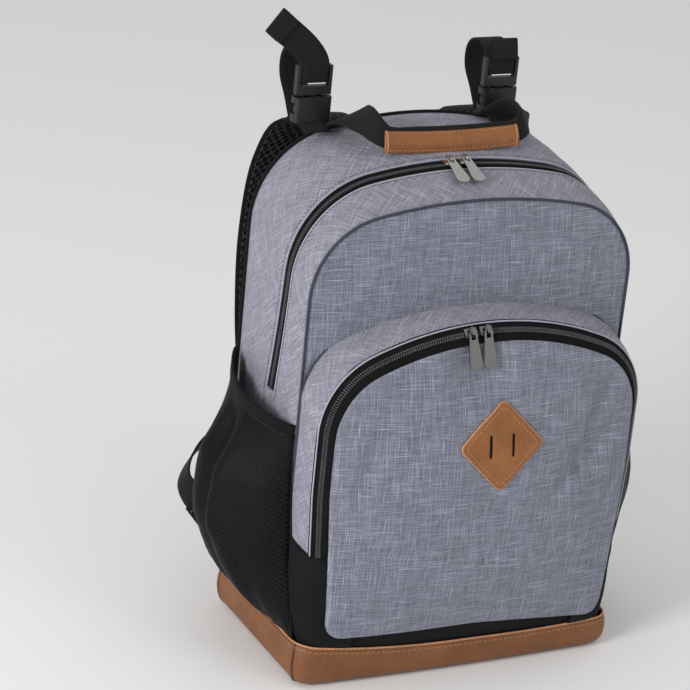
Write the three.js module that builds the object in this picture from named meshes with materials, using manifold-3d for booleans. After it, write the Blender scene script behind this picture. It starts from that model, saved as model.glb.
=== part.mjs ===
// A backpack-style diaper bag that straps to a stroller's handlebar, in millimetres.
// +Z is up, -Y is the front face and +X the wearer's left. The origin is the centre of the base's underside.
import * as THREE from "three";
import Module from "manifold-3d";
import { mergeVertices } from "three/addons/utils/BufferGeometryUtils.js";

const wasm = await Module();
wasm.setup();

// ---- Driving dimensions ----
const GAP = 0.35; // clearance between pieces that are sewn or laid against each other
const HALF_WIDTH = 150;
const FRONT_Y = -48; // main front panel's outer face
const BACK_Y = 82; // rear edge of the gusset
const CLOTH = 3; // lined, padded cloth
const TAPE = 1.2; // zipper tape
const BASE_FRONT_Y = -92;
const BASE_WALL_Z = 34;
const SIDE_TOP_Z = 230; // where the main zipper ends and the mesh pockets open
const MAIN_ZIP_Y = -8;
const POCKET_EDGE_Y = -84; // front edge of the front pocket's gusset
const POCKET_FACE_Y = -98;
const FLAP_Z = 128; // fold line of the front pocket's panel
const PANEL_BOTTOM_Z = 50;
const WEB_WIDTH = 25;
const WEB_THICK = 1.6;
const SLIDER_HALF_GAP = 7.2; // from the middle of a pair of sliders to each of them
const MAIN_SLIDER_SHIFT = -6; // how far the pair stands to the left of the zipper's middle
const POCKET_SLIDER_SHIFT = -17;
const BAR = { y: 102, z: 480, r: 17 }; // the stroller handlebar that the loops hold
const LOOP_X = { left: -101, right: 76 };

// An arch outline: upright sides, round shoulders and a shallow top arc.
const MAIN_FRONT = { a: 149, rc: 72, rt: 430, top: 412 };
const MAIN_ZIP = { a: 151, rc: 84, rt: 430, top: 427 };
const REAR = { a: 147, rc: 78, rt: 350, top: 440 };
const POCKET = { a: 146, rc: 80, rt: 280, top: 318 };

const MATERIALS = {
  melange: { color: 0x7d8292, roughness: 0.9 },
  black_cloth: { color: 0x17181a, roughness: 0.9 },
  mesh: { color: 0x141416, roughness: 0.95 },
  webbing: { color: 0x1b1b1c, roughness: 0.85 },
  leather: { color: 0x8a5a34, roughness: 0.55 },
  zipper: { color: 0x121314, roughness: 0.7 },
  nickel: { color: 0xbfbcb6, roughness: 0.25, metalness: 1 },
  plastic: { color: 0x232427, roughness: 0.45 },
  lining: { color: 0x9a9ca3, roughness: 0.9 },
  foam: { color: 0xd9d9d4, roughness: 1 },
};

const bag = new THREE.Group();
const cache = {};

function material(slot) {
  cache[slot] ??= new THREE.MeshStandardMaterial(MATERIALS[slot]);
  return cache[slot];
}

function add(name, geometry, slot) {
  const mesh = new THREE.Mesh(geometry, material(slot));
  mesh.name = name;
  bag.add(mesh);
  return mesh;
}

// ---- Outlines ----

// The centre heights and the angle where the top arc meets the shoulder arcs.
function archFacts({ a, rc, rt, top }) {
  const topCentre = top - rt;
  const shoulderZ = topCentre + Math.sqrt((rt - rc) ** 2 - (a - rc) ** 2);
  const meet = Math.atan2(shoulderZ - topCentre, a - rc);
  return { topCentre, shoulderZ, meet };
}

// Points { x, z, nx, nz } from the left foot over the top to the right foot, with outward normals.
function archPath(arch, footZ, shoulderSteps = 7, topSteps = 10) {
  const { topCentre, shoulderZ, meet } = archFacts(arch);
  const half = [];
  const push = (x, z, nx, nz) => half.push({ x, z, nx, nz });
  push(arch.a, footZ, 1, 0);
  for (let i = 0; i <= shoulderSteps; i++) {
    const t = (meet * i) / shoulderSteps;
    const x = arch.a - arch.rc + arch.rc * Math.cos(t);
    push(x, shoulderZ + arch.rc * Math.sin(t), Math.cos(t), Math.sin(t));
  }
  for (let i = 1; i <= topSteps / 2; i++) {
    const t = meet + ((Math.PI / 2 - meet) * 2 * i) / topSteps;
    push(arch.rt * Math.cos(t), topCentre + arch.rt * Math.sin(t), Math.cos(t), Math.sin(t));
  }
  const left = half.map((p) => ({ ...p, x: -p.x, nx: -p.nx }));
  return [...left, ...half.slice(0, -1).reverse()];
}

// Half the arch's width at height z.
function archHalfWidth(arch, z) {
  const { topCentre, shoulderZ, meet } = archFacts(arch);
  if (z <= shoulderZ) return arch.a;
  const kneeZ = shoulderZ + arch.rc * Math.sin(meet);
  if (z <= kneeZ) return arch.a - arch.rc + Math.sqrt(arch.rc ** 2 - (z - shoulderZ) ** 2);
  return Math.sqrt(Math.max(arch.rt ** 2 - (z - topCentre) ** 2, 0));
}

// The height of the arch's edge over x.
function archTopZ(arch, x) {
  const { topCentre, shoulderZ, meet } = archFacts(arch);
  const away = Math.abs(x);
  if (away <= arch.rt * Math.cos(meet)) return topCentre + Math.sqrt(arch.rt ** 2 - away ** 2);
  return shoulderZ + Math.sqrt(Math.max(arch.rc ** 2 - (away - arch.a + arch.rc) ** 2, 0));
}

// ---- Solids ----

// A closed body from equal rings of points, capped at both ends.
function ringSolid(rings) {
  const count = rings[0].length;
  const positions = rings.flat().flatMap((p) => [p.x, p.y, p.z]);
  const index = [];
  for (let r = 0; r < rings.length - 1; r++) {
    for (let k = 0; k < count; k++) {
      const a = r * count + k;
      const b = r * count + ((k + 1) % count);
      index.push(a, b, b + count, a, b + count, a + count);
    }
  }
  const last = (rings.length - 1) * count;
  for (let k = 1; k < count - 1; k++) {
    index.push(0, k + 1, k);
    index.push(last, last + k, last + k + 1);
  }
  return facingOut(positions, index);
}

// Six times the signed volume that a triangle list encloses.
function signedVolume(positions, index) {
  const v = (i) => new THREE.Vector3(...positions.slice(3 * i, 3 * i + 3));
  let sum = 0;
  for (let i = 0; i < index.length; i += 3) {
    sum += v(index[i]).dot(v(index[i + 1]).cross(v(index[i + 2])));
  }
  return sum;
}

function facingOut(positions, index) {
  if (signedVolume(positions, index) < 0) index.reverse();
  const geometry = new THREE.BufferGeometry();
  geometry.setAttribute("position", new THREE.Float32BufferAttribute(positions, 3));
  geometry.setIndex(index);
  return geometry;
}

// A section of { n, y } points, n outward from the outline, carried along an arch.
function archSweep(arch, footZ, section) {
  const rings = archPath(arch, footZ).map((p) =>
    section.map(({ n, y }) => new THREE.Vector3(p.x + p.nx * n, y, p.z + p.nz * n)),
  );
  return ringSolid(rings);
}

function bandSection(y0, y1, n0, n1) {
  return [{ n: n0, y: y0 }, { n: n1, y: y0 }, { n: n1, y: y1 }, { n: n0, y: y1 }];
}

function roundSection(y, n, r, sides = 6) {
  return Array.from({ length: sides }, (_, i) => {
    const t = (2 * Math.PI * i) / sides;
    return { n: n + r * Math.cos(t), y: y + r * Math.sin(t) };
  });
}

// A closed sheet between two surfaces over a grid: outer(u, v) and inner(u, v) give Vector3 points.
function sheetSolid(columns, rows, outer, inner) {
  const side = (columns + 1) * (rows + 1);
  const positions = [];
  for (const surface of [outer, inner]) {
    for (let j = 0; j <= rows; j++) {
      for (let i = 0; i <= columns; i++) {
        const p = surface(i / columns, j / rows);
        positions.push(p.x, p.y, p.z);
      }
    }
  }
  const at = (i, j) => j * (columns + 1) + i;
  const index = [];
  const quad = (a, b, c, d) => index.push(a, b, c, a, c, d);
  for (let j = 0; j < rows; j++) {
    for (let i = 0; i < columns; i++) {
      quad(at(i, j), at(i + 1, j), at(i + 1, j + 1), at(i, j + 1));
      quad(side + at(i, j), side + at(i, j + 1), side + at(i + 1, j + 1), side + at(i + 1, j));
    }
  }
  const rim = [];
  for (let i = 0; i < columns; i++) rim.push(at(i, 0));
  for (let j = 0; j < rows; j++) rim.push(at(columns, j));
  for (let i = columns; i > 0; i--) rim.push(at(i, rows));
  for (let j = rows; j > 0; j--) rim.push(at(0, j));
  rim.forEach((a, k) => {
    const b = rim[(k + 1) % rim.length];
    quad(b, a, a + side, b + side);
  });
  return facingOut(positions, index);
}

// An upright panel that fills an arch between two heights, with its front face crowned forward.
function archPanel(arch, lowZ, highZ, faceY, crown, thick, columns = 8, rows = 12) {
  const surface = (lift) => (u, v) => {
    const z = lowZ + (highZ - lowZ) * Math.sin((v * Math.PI) / 2);
    const s = 2 * u - 1;
    const x = s * archHalfWidth(arch, z);
    return new THREE.Vector3(x, faceY - crown(x, z) + lift, z);
  };
  return sheetSolid(columns, rows, surface(0), surface(thick));
}

// A flat strap along points. Its width and the direction across it are constants or change along it.
// A strap that is cut to a curve is not square: its width keeps the given direction.
function ribbon(points, width, thick, across = new THREE.Vector3(1, 0, 0), steps = 0, square = true) {
  const curve = new THREE.CatmullRomCurve3(points, false, "centripetal");
  const count = steps || points.length * 2;
  const rings = [];
  for (let i = 0; i <= count; i++) {
    const t = i / count;
    const p = curve.getPointAt(t);
    const along = curve.getTangentAt(t);
    const side = typeof across === "function" ? across(t) : across;
    const w = side.clone().addScaledVector(along, square ? -side.dot(along) : 0).normalize();
    const n = new THREE.Vector3().crossVectors(along, w).normalize().multiplyScalar(thick / 2);
    const half = w.clone().multiplyScalar((typeof width === "function" ? width(t) : width) / 2);
    rings.push([
      p.clone().add(half).add(n),
      p.clone().sub(half).add(n),
      p.clone().sub(half).sub(n),
      p.clone().add(half).sub(n),
    ]);
  }
  return ringSolid(rings);
}

function box(x0, x1, y0, y1, z0, z1) {
  const geometry = new THREE.BoxGeometry(x1 - x0, y1 - y0, z1 - z0);
  return geometry.translate((x0 + x1) / 2, (y0 + y1) / 2, (z0 + z1) / 2);
}

function solidOf(geometry) {
  const bare = geometry.clone();
  bare.deleteAttribute("normal");
  bare.deleteAttribute("uv");
  const merged = mergeVertices(bare, 1e-3);
  return new wasm.Manifold(
    new wasm.Mesh({
      numProp: 3,
      vertProperties: merged.attributes.position.array,
      triVerts: new Uint32Array(merged.index.array),
    }),
  );
}

function geometryOf(solid) {
  const mesh = solid.getMesh();
  const geometry = new THREE.BufferGeometry();
  geometry.setAttribute("position", new THREE.Float32BufferAttribute(mesh.vertProperties, 3));
  geometry.setIndex([...mesh.triVerts]);
  return geometry;
}

// The first geometry joined with the added ones and cut by the taken ones.
function carve(first, added, taken) {
  let solid = solidOf(first);
  for (const g of added) solid = solid.add(solidOf(g));
  for (const g of taken) solid = solid.subtract(solidOf(g));
  return geometryOf(solid);
}

// A slab with round vertical corners.
function roundSlab(x0, x1, y0, y1, z0, z1, r) {
  const shape = new THREE.Shape();
  shape.moveTo(x0 + r, y0);
  shape.lineTo(x1 - r, y0);
  shape.absarc(x1 - r, y0 + r, r, -Math.PI / 2, 0);
  shape.lineTo(x1, y1 - r);
  shape.absarc(x1 - r, y1 - r, r, 0, Math.PI / 2);
  shape.lineTo(x0 + r, y1);
  shape.absarc(x0 + r, y1 - r, r, Math.PI / 2, Math.PI);
  shape.lineTo(x0, y0 + r);
  shape.absarc(x0 + r, y0 + r, r, Math.PI, (3 * Math.PI) / 2);
  const options = { depth: z1 - z0, bevelEnabled: false, curveSegments: 4 };
  const geometry = new THREE.ExtrudeGeometry(shape, options);
  return geometry.translate(0, 0, z0);
}

const flat = () => 0;

// ---- Main compartment ----

function buildBase() {
  const edge = HALF_WIDTH;
  const outer = roundSlab(-edge, edge, BASE_FRONT_Y, BACK_Y, 0, BASE_WALL_Z, 14);
  const inner = roundSlab(-edge + 3, edge - 3, BASE_FRONT_Y + 3, BACK_Y - 3, 3, BASE_WALL_Z + 10, 12);
  add("leather_base", carve(outer, [], [inner]), "leather");
  add("base_board", roundSlab(-edge + 6, edge - 6, BASE_FRONT_Y + 6, BACK_Y - 6, 3 + GAP, 6, 10), "plastic");
}

function buildGusset() {
  const foot = SIDE_TOP_Z + GAP;
  const coil = 1.5;
  add("rear_gusset", ringLoft(8, BACK_Y - GAP, foot, -CLOTH), "melange");
  add("front_gusset", ringLoft(FRONT_Y + CLOTH + GAP, -24, foot, -CLOTH), "melange");
  add("main_zip_tape_rear", ringLoft(MAIN_ZIP_Y + GAP / 2, 8 - GAP, foot, -TAPE, coil), "zipper");
  add("main_zip_tape_front", ringLoft(MAIN_ZIP_Y - GAP / 2, -24 + GAP, foot, -TAPE, coil), "zipper");
}

// A gusset strip whose outline changes from the front panel's arch to the rear arch with depth.
// A zipper tape carries its half of the coil as a bead of the given width along its y0 edge.
function ringLoft(y0, y1, footZ, inner, coil = 0) {
  const mix = (p, q, t) => p + (q - p) * t;
  const outlineAt = (y) => {
    const toZip = (y - FRONT_Y) / (MAIN_ZIP_Y - FRONT_Y);
    const toRear = (y - MAIN_ZIP_Y) / (BACK_Y - MAIN_ZIP_Y);
    const [from, to, t] = y < MAIN_ZIP_Y ? [MAIN_FRONT, MAIN_ZIP, toZip] : [MAIN_ZIP, REAR, toRear];
    const share = Math.min(Math.max(t, 0), 1);
    return Object.fromEntries(Object.keys(from).map((k) => [k, mix(from[k], to[k], share)]));
  };
  const near = archPath(outlineAt(y0), footZ);
  const far = archPath(outlineAt(y1), footZ);
  const bead = y0 + Math.sign(y1 - y0) * coil;
  const at = (p, y, lift) => new THREE.Vector3(p.x + p.nx * lift, y, p.z + p.nz * lift);
  const rings = near.map((p, i) => {
    const q = far[i];
    const tooth = [at(p, bead, inner - 0.4), at(p, y0, inner - 0.4), at(p, y0, 0.4), at(p, bead, 0.4)];
    const tip = coil ? tooth : [];
    const edge = coil ? [at(p, bead + 0.01 * Math.sign(y1 - y0), 0)] : [at(p, y0, inner), at(p, y0, 0)];
    return [...tip, ...edge, at(q, y1, 0), at(q, y1, inner)];
  });
  return ringSolid(rings);
}

function buildPanels() {
  const low = 6 + GAP;
  const frontPanel = archPanel(insetArch(MAIN_FRONT, 4), low, MAIN_FRONT.top - 4.5, FRONT_Y, flat, CLOTH);
  add("main_front_panel", frontPanel, "melange");
  const frontCord = roundSection(FRONT_Y - 0.3, 1, 1.6);
  add("front_piping", archSweep(MAIN_FRONT, BASE_WALL_Z + GAP, frontCord), "black_cloth");
  add("back_panel", archPanel(REAR, BASE_WALL_Z + GAP, REAR.top - 0.6, BACK_Y, flat, 11), "mesh");
  const foamArch = insetArch(REAR, 12);
  add("back_foam_sheet", archPanel(foamArch, low, foamArch.top - 0.6, BACK_Y - 10, flat, 5), "foam");
  for (const [side, sign] of [["left", -1], ["right", 1]]) {
    const x0 = Math.min(sign * (HALF_WIDTH - 6), sign * (HALF_WIDTH - 3 - GAP));
    const panel = box(x0, x0 + 3 - GAP, FRONT_Y + CLOTH + GAP, BACK_Y - 17, low, SIDE_TOP_Z);
    add(`side_panel_${side}`, panel, "melange");
  }
}

function insetArch({ a, rc, rt, top }, inset) {
  return { a: a - inset, rc: rc - inset, rt: rt - inset, top: top - inset };
}

// ---- Front pocket ----

// How far the pocket's panel stands forward of its edge.
function pocketCrown(x, z) {
  const across = 1 - (x / HALF_WIDTH) ** 2;
  const foot = 20;
  const share = (z - foot) / (archTopZ(insetArch(POCKET, 14.6), x) - foot);
  const up = Math.sin(Math.PI * Math.min(Math.max(share, 0), 1));
  return 16 * Math.max(across, 0) * up;
}

function buildPocket() {
  const low = BASE_WALL_Z + GAP;
  const upper = 131;
  const gussetBand = bandSection(POCKET_EDGE_Y, FRONT_Y - 2.5, -CLOTH, 0);
  add("pocket_gusset", archSweep(POCKET, upper, gussetBand), "melange");
  add("pocket_piping", archSweep(POCKET, upper, roundSection(FRONT_Y - 1.35, 0.4, 1.1)), "black_cloth");
  for (const [side, sign] of [["left", -1], ["right", 1]]) {
    const x0 = Math.min(sign * POCKET.a, sign * (POCKET.a - CLOTH));
    const wall = box(x0, x0 + CLOTH, BASE_FRONT_Y, FRONT_Y - 2.5, low, upper - GAP);
    const edgeX = Math.min(sign * (POCKET.a - CLOTH - GAP), sign * (POCKET.a - 14));
    const face = box(edgeX, edgeX + 14 - CLOTH - GAP, BASE_FRONT_Y - 3, BASE_FRONT_Y, low, upper - GAP);
    add(`pocket_side_${side}`, carve(wall, [face.translate(sign * GAP * 1.2, 0, 0)], []), "black_cloth");
  }
  // The zipper lies on the slope between the gusset's edge and the panel's edge.
  const slope = (s, lift) => ({
    n: -14 * s + lift * Math.SQRT1_2,
    y: POCKET_EDGE_Y - GAP - 1 - 13 * s - lift * Math.SQRT1_2,
  });
  const tape = (far, bead, tip) => [
    slope(far, -TAPE), slope(far, 0), slope(bead, 0), slope(bead, 0.5),
    slope(tip, 0.5), slope(tip, -1.6), slope(bead, -1.6), slope(bead, -TAPE),
  ];
  const zipFoot = FLAP_Z + 3;
  add("pocket_zip_tape_outer", archSweep(POCKET, zipFoot, tape(0, 0.42, 0.485)), "zipper");
  add("pocket_zip_tape_inner", archSweep(POCKET, zipFoot, tape(0.96, 0.58, 0.515)), "zipper");
  const panel = insetArch(POCKET, 14.6);
  const thick = 2.6;
  const flap = archPanel(panel, FLAP_Z + GAP, panel.top - 0.4, POCKET_FACE_Y, pocketCrown, thick);
  add("pocket_flap", flap, "melange");
  const lower = archPanel(panel, PANEL_BOTTOM_Z, FLAP_Z, POCKET_FACE_Y, pocketCrown, thick, 8, 4);
  add("pocket_panel_lower", lower, "melange");
  const band = (u, v, lift) => {
    const x = (2 * u - 1) * (POCKET.a - 15);
    const z = low + (PANEL_BOTTOM_Z - GAP - low) * v;
    return new THREE.Vector3(x, BASE_FRONT_Y - 5 - pocketCrown(x, z) * 0.9 * v + lift, z);
  };
  const lowerBand = sheetSolid(8, 3, (u, v) => band(u, v, 0), (u, v) => band(u, v, 2.6));
  add("pocket_bottom_band", lowerBand, "black_cloth");
  const openTop = (x, y0, y1, z0, z1) => carve(box(-x, x, y0, y1, z0, z1), [],
    [box(-x + 3, x - 3, y0 + 2, y1 - 2, z0 + 3, z1 + 10)]);
  add("organiser_pocket", openTop(110, FRONT_Y - 16, FRONT_Y - 2.2, 60, 170), "lining");
  add("rear_pocket", openTop(115, BACK_Y - 28, BACK_Y - 12, 60, 250), "lining");
  const patch = new THREE.CylinderGeometry(38, 38, 2, 4, 1);
  const slot = (x) => box(x - 0.8, x + 0.8, -6, 6, -10, 10);
  const tilt = pocketPatchPlane();
  const lash = carve(patch, [], [slot(-11), slot(11)]);
  add("lash_patch", lash.translate(0, tilt, 222), "leather");
}

// The depth at which the flat lash patch clears the crowned panel under it.
function pocketPatchPlane() {
  return POCKET_FACE_Y - pocketCrown(0, 200) - 2.2;
}

// ---- Side pockets ----

function buildSidePocket(side, sign) {
  const y0 = FRONT_Y + 6;
  const y1 = BACK_Y - 6;
  const z0 = BASE_WALL_Z + 3;
  const z1 = SIDE_TOP_Z - 13;
  const bulge = (u, v) => Math.sin(Math.PI * u) ** 0.75 * (12 + 34 * Math.sin(Math.PI * (0.08 + 0.77 * v)));
  const point = (inset) => (u, v) => {
    const lift = Math.max(bulge(u, v) - inset, 0) + 2 - inset;
    const x = sign * (HALF_WIDTH - 2.4 + lift);
    return new THREE.Vector3(x, y0 + inset + (y1 - y0 - 2 * inset) * u, z0 + (z1 - z0) * v);
  };
  add(`mesh_pocket_${side}`, sheetSolid(10, 8, point(0), point(1.6)), "mesh");
  const rim = (inset) => (u, v) => {
    const p = point(inset)(u, 1);
    return p.setZ(z1 + GAP + v * 12).setX(p.x - sign * 3 * v * Math.sin(Math.PI * u));
  };
  add(`elastic_binding_${side}`, sheetSolid(10, 1, rim(-0.4), rim(1.8)), "black_cloth");
}

// ---- Handle, shoulder straps and stroller straps ----

const HANDLE = { rootX: 92, rootY: 58, rootZ: 433, crownZ: 461, gripY: 14, gripZ: 444, gripX: 62, sag: 1.5 };

// The middle of the handle's webbing, from the left root over the grip to the right root.
function handlePath() {
  const { rootX, rootY, rootZ, crownZ, gripY, gripZ, gripX, sag } = HANDLE;
  const side = (s) => [
    new THREE.Vector3(s * rootX, rootY, rootZ),
    new THREE.Vector3(s * (rootX + 1), rootY - 5, rootZ + 17),
    new THREE.Vector3(s * (rootX - 3), 37, crownZ),
    new THREE.Vector3(s * (rootX - 14), 22, gripZ + 13),
  ];
  const grip = [-1.12, -0.8, -0.4, 0, 0.4, 0.8, 1.12].map((t) => gripPoint(t * gripX, gripY, gripZ, sag));
  return [...side(-1), ...grip, ...side(1).reverse()];
}

function gripPoint(x, gripY, gripZ, sag) {
  const drop = sag * (1 - (x / HANDLE.gripX) ** 2);
  return new THREE.Vector3(x, gripY - drop, gripZ - drop);
}

function buildHandle() {
  const { gripY, gripZ, gripX, sag } = HANDLE;
  const upright = new THREE.Vector3(0, 0.4, 1).normalize();
  const lying = new THREE.Vector3(1, 0, 0);
  // The webbing is sewn down flat along X and turns on edge towards the grip.
  const across = (t) => {
    const toEnd = Math.min(Math.abs(2 * t - 1) / 0.95, 1);
    const turn = Math.max((toEnd - 0.52) / 0.48, 0);
    const sign = t < 0.5 ? 1 : -1;
    return upright.clone().lerp(lying.clone().multiplyScalar(sign), turn ** 1.2);
  };
  const width = (t) => 17.5 + 18 * Math.min(Math.max((Math.abs(2 * t - 1) - 0.55) * 3, 0), 1);
  add("handle_webbing", ribbon(handlePath(), width, 3, across, 36), "webbing");
  const inGrip = [-0.95, -0.5, 0, 0.5, 0.95].map((t) => gripPoint(t * gripX, gripY, gripZ, sag));
  const beyond = [-1.1, -0.5, 0, 0.5, 1.1].map((t) => gripPoint(t * gripX, gripY, gripZ, sag));
  const sleeve = ribbon(inGrip, 23, 9, () => upright, 10);
  add("handle_wrap", carve(sleeve, [], [ribbon(beyond, 21, 6, () => upright, 12)]), "leather");
}

const BACK_FACE = BACK_Y + 11;
const TAB = { x: 149, y: 88, z: 70, length: 30, height: 48 };

function buildShoulderStrap(side, sign) {
  const at = (x, y, z) => new THREE.Vector3(sign * x, y, z);
  const pad = [
    at(50, BACK_FACE + 11, 404),
    at(60, BACK_FACE + 22, 426),
    at(76, BACK_FACE + 34, 424),
    at(90, BACK_FACE + 42, 392),
    at(97, BACK_FACE + 46, 326),
    at(99, BACK_FACE + 42, 256),
    at(98, BACK_FACE + 36, 188),
  ];
  const across = new THREE.Vector3(1, 0, 0);
  add(`shoulder_pad_${side}`, ribbon(pad, (t) => 64 - 18 * t, 12, across, 18, false), "black_cloth");
  const lockZ = 168;
  const lockY = BACK_FACE + 34;
  const cx = sign * 98;
  const hole = (z0, z1) => box(cx - 13, cx + 13, lockY - 5, lockY + 5, z0, z1);
  const frame = box(cx - 17, cx + 17, lockY - 2, lockY + 2, lockZ - 14, lockZ + 12);
  const slots = [hole(lockZ - 10, lockZ - 3), hole(lockZ + 1, lockZ + 7)];
  add(`ladder_lock_${side}`, carve(frame, [], slots), "plastic");
  // A stitched tab stands out of the side seam and holds the strap's lower webbing.
  const out = new THREE.Vector3(0.74 * sign, 0.67, 0);
  const thick = new THREE.Vector3(-0.67 * sign, 0.74, 0).multiplyScalar(2.4);
  const tab = (lift) => (u, v) => {
    const p = at(TAB.x, TAB.y, TAB.z).addScaledVector(out, TAB.length * u).addScaledVector(thick, lift);
    return p.setZ(TAB.z + (v - 0.5) * (TAB.height - (TAB.height - WEB_WIDTH - 2) * u));
  };
  add(`anchor_tab_${side}`, sheetSolid(1, 1, tab(0), tab(1)), "black_cloth");
  const web = [
    at(TAB.x + 0.74 * TAB.length + 1.6, TAB.y + 0.67 * TAB.length + 3.4, TAB.z + 2),
    at(177, 122, 84),
    at(158, 132, 112),
    at(126, 138, 138),
    at(103, lockY + 9, lockZ - 18),
    at(98, lockY + 5.6, lockZ - 3),
  ];
  const turn = (t) => new THREE.Vector3(sign * (0.1 + 0.9 * t), 0, 1 - t);
  add(`lower_webbing_${side}`, ribbon(web, WEB_WIDTH - 1, WEB_THICK, turn, 12), "webbing");
}

// The webbing loop round the handlebar, its free tail, and the side-release buckle that closes it.
function buildStrollerStrap(side, tailRise, tailLean) {
  const cx = LOOP_X[side];
  const at = (y, z, lean = 0) => new THREE.Vector3(cx + lean, y, z);
  const reach = BAR.r + 1.6;
  const my = 79;
  const foldZ = 474.3;
  const layer = 2.1; // from the buckle's mid-plane to each layer of webbing
  const round = [15, 50, 90, 125, 150].map((deg) => {
    const t = (deg * Math.PI) / 180;
    return at(BAR.y + reach * Math.cos(t), BAR.z + reach * Math.sin(t));
  });
  const path = [
    at(BACK_FACE + 1.6, 438),
    at(BACK_FACE + 13, 454),
    at(BAR.y + reach - 1.6, BAR.z - 10),
    ...round,
    at(my + layer + 1.5, 484.6),
    at(my + layer, foldZ + 4),
    at(my + 1.3, foldZ + 0.6),
    at(my, foldZ),
    at(my - 1.3, foldZ + 0.6),
    at(my - layer, foldZ + 4),
    at(my - layer - 0.1, 484),
    at(my - layer - 0.3, 490),
    at(my - layer - 0.6, 495 + tailRise * 0.25, tailLean * 0.25),
    at(my - layer + 1, 493 + tailRise, tailLean),
  ];
  const across = new THREE.Vector3(1, 0, 0);
  add(`stroller_loop_${side}`, ribbon(path, WEB_WIDTH, WEB_THICK, across, 72), "webbing");
  // Male half: an adjuster frame whose bars lie in the webbing's fold, with a guide tongue below.
  const slab = (x0, x1, depth, z0, z1) => box(cx + x0, cx + x1, my - depth, my + depth, z0, z1);
  const rails = [slab(-16, -13.2, 3, 466, 489), slab(13.2, 16, 3, 466, 489)];
  const bars = [slab(-15, 15, 0.8, 477.1, 479), slab(-15, 15, 0.8, 486.6, 488.8), slab(-3, 3, 1.6, 447, 466)];
  add(`buckle_male_${side}`, carve(slab(-16, 16, 3, 464, 471.5), [...rails, ...bars], []), "plastic");
  for (const [arm, sign] of [["left", -1], ["right", 1]]) {
    const sheet = (x0, x1, z0, z1) => {
      const [low, high] = sign < 0 ? [-x1, -x0] : [x0, x1];
      return slab(low, high, 2.2, z0, z1);
    };
    const prong = carve(sheet(8.6, 11.6, 446, 463.2), [sheet(10, 15.6, 448.6, 455)], []);
    add(`buckle_prong_${side}_${arm}`, prong, "plastic");
  }
  // Female half: a socket that the prongs latch into through its two side windows.
  const shell = roundSlab(cx - 17, cx + 17, my - 6, my + 6, 441, 462.4, 4);
  const cavity = slab(-12.8, 12.8, 3.2, 444.5, 466);
  const windows = [slab(-20, -12, 3.2, 447.6, 457), slab(12, 20, 3.2, 447.6, 457)];
  add(`buckle_female_${side}`, carve(shell, [], [cavity, ...windows]), "plastic");
  const nearX = Math.abs(cx) - WEB_WIDTH / 2;
  const topZ = REAR.top - (REAR.rt - Math.sqrt(REAR.rt ** 2 - nearX ** 2));
  const anchor = [at(my + 3, topZ + 1.8), at(my + 1, (topZ + 441) / 2 + 0.6), at(my, 440.4)];
  add(`anchor_webbing_${side}`, ribbon(anchor, WEB_WIDTH, WEB_THICK, across, 4), "webbing");
}

// ---- Zipper sliders and pulls ----

// A slider whose channel runs along X, with its top face towards +Z, before it is turned into place.
// Its bridge runs along Y, so the pull's crossbar lies along X through the bridge's window.
const PIVOT = { y: -1.7, z: 4.5 };

function sliderGeometry() {
  const top = box(-5.5, 5.5, -4, 4, 1, 2.4);
  const bottom = box(-5.5, 5.5, -4, 4, -4.6, -3.4);
  const wedge = box(-5.4, -3.2, -0.08, 0.08, -3.6, 1.2);
  const bridge = carve(box(-1.2, 1.2, -3.9, 3.4, 2.2, 6.8), [], [box(-2, 2, -2.9, 2.4, 2.41, 5.6)]);
  return carve(top, [bottom, wedge, bridge], []);
}

// A tear-drop pull, drawn flat in XY from its crossbar at the origin towards -Y.
function pullGeometry() {
  const shape = new THREE.Shape();
  shape.moveTo(-3.4, 0.5);
  shape.lineTo(-5.6, -24);
  shape.absarc(0, -25, 5.7, Math.PI, 2 * Math.PI);
  shape.lineTo(3.4, 0.5);
  shape.closePath();
  const eye = new THREE.Path();
  eye.moveTo(-1.9, -5.2);
  eye.lineTo(1.9, -5.2);
  eye.lineTo(1.9, -0.5);
  eye.lineTo(-1.9, -0.5);
  eye.closePath();
  shape.holes.push(eye);
  const plate = { depth: 1.4, bevelEnabled: false, curveSegments: 8 };
  return new THREE.ExtrudeGeometry(shape, plate).translate(0, 0, -0.7);
}

// Places a slider and its pull on an arch's top arc, at an angle from the middle, tipped about X.
function buildSlider(prefix, side, arch, angle, y, tip, lift, pullTip) {
  const { topCentre } = archFacts(arch);
  const onArc = new THREE.Matrix4().makeTranslation(0, 0, topCentre);
  onArc.multiply(new THREE.Matrix4().makeRotationY(angle));
  onArc.multiply(new THREE.Matrix4().makeTranslation(0, y, arch.rt + lift));
  onArc.multiply(new THREE.Matrix4().makeRotationX(tip));
  add(`${prefix}_slider_${side}`, sliderGeometry().applyMatrix4(onArc), "nickel");
  const onBridge = onArc.clone().multiply(new THREE.Matrix4().makeTranslation(0, PIVOT.y, PIVOT.z));
  onBridge.multiply(new THREE.Matrix4().makeRotationX(pullTip));
  add(`${prefix}_pull_${side}`, pullGeometry().applyMatrix4(onBridge), "nickel");
}

function buildSliders() {
  const slopeN = -7;
  const slopeY = POCKET_EDGE_Y - GAP - 1 - 6.5;
  for (const [side, sign] of [["left", -1], ["right", 1]]) {
    const mainAngle = (sign * SLIDER_HALF_GAP + MAIN_SLIDER_SHIFT) / MAIN_ZIP.rt;
    buildSlider("main", side, MAIN_ZIP, mainAngle, MAIN_ZIP_Y, 0, 0, 0.34);
    const angle = (sign * SLIDER_HALF_GAP + POCKET_SLIDER_SHIFT) / POCKET.rt;
    buildSlider("pocket", side, POCKET, angle, slopeY, Math.PI / 4, slopeN, 0.46);
  }
}

buildBase();
buildGusset();
buildPanels();
buildPocket();
buildHandle();
for (const [side, sign] of [["left", -1], ["right", 1]]) {
  buildSidePocket(side, sign);
  buildShoulderStrap(side, sign);
}
buildStrollerStrap("left", 30, -26);
buildStrollerStrap("right", 10, 0);
buildSliders();

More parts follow.
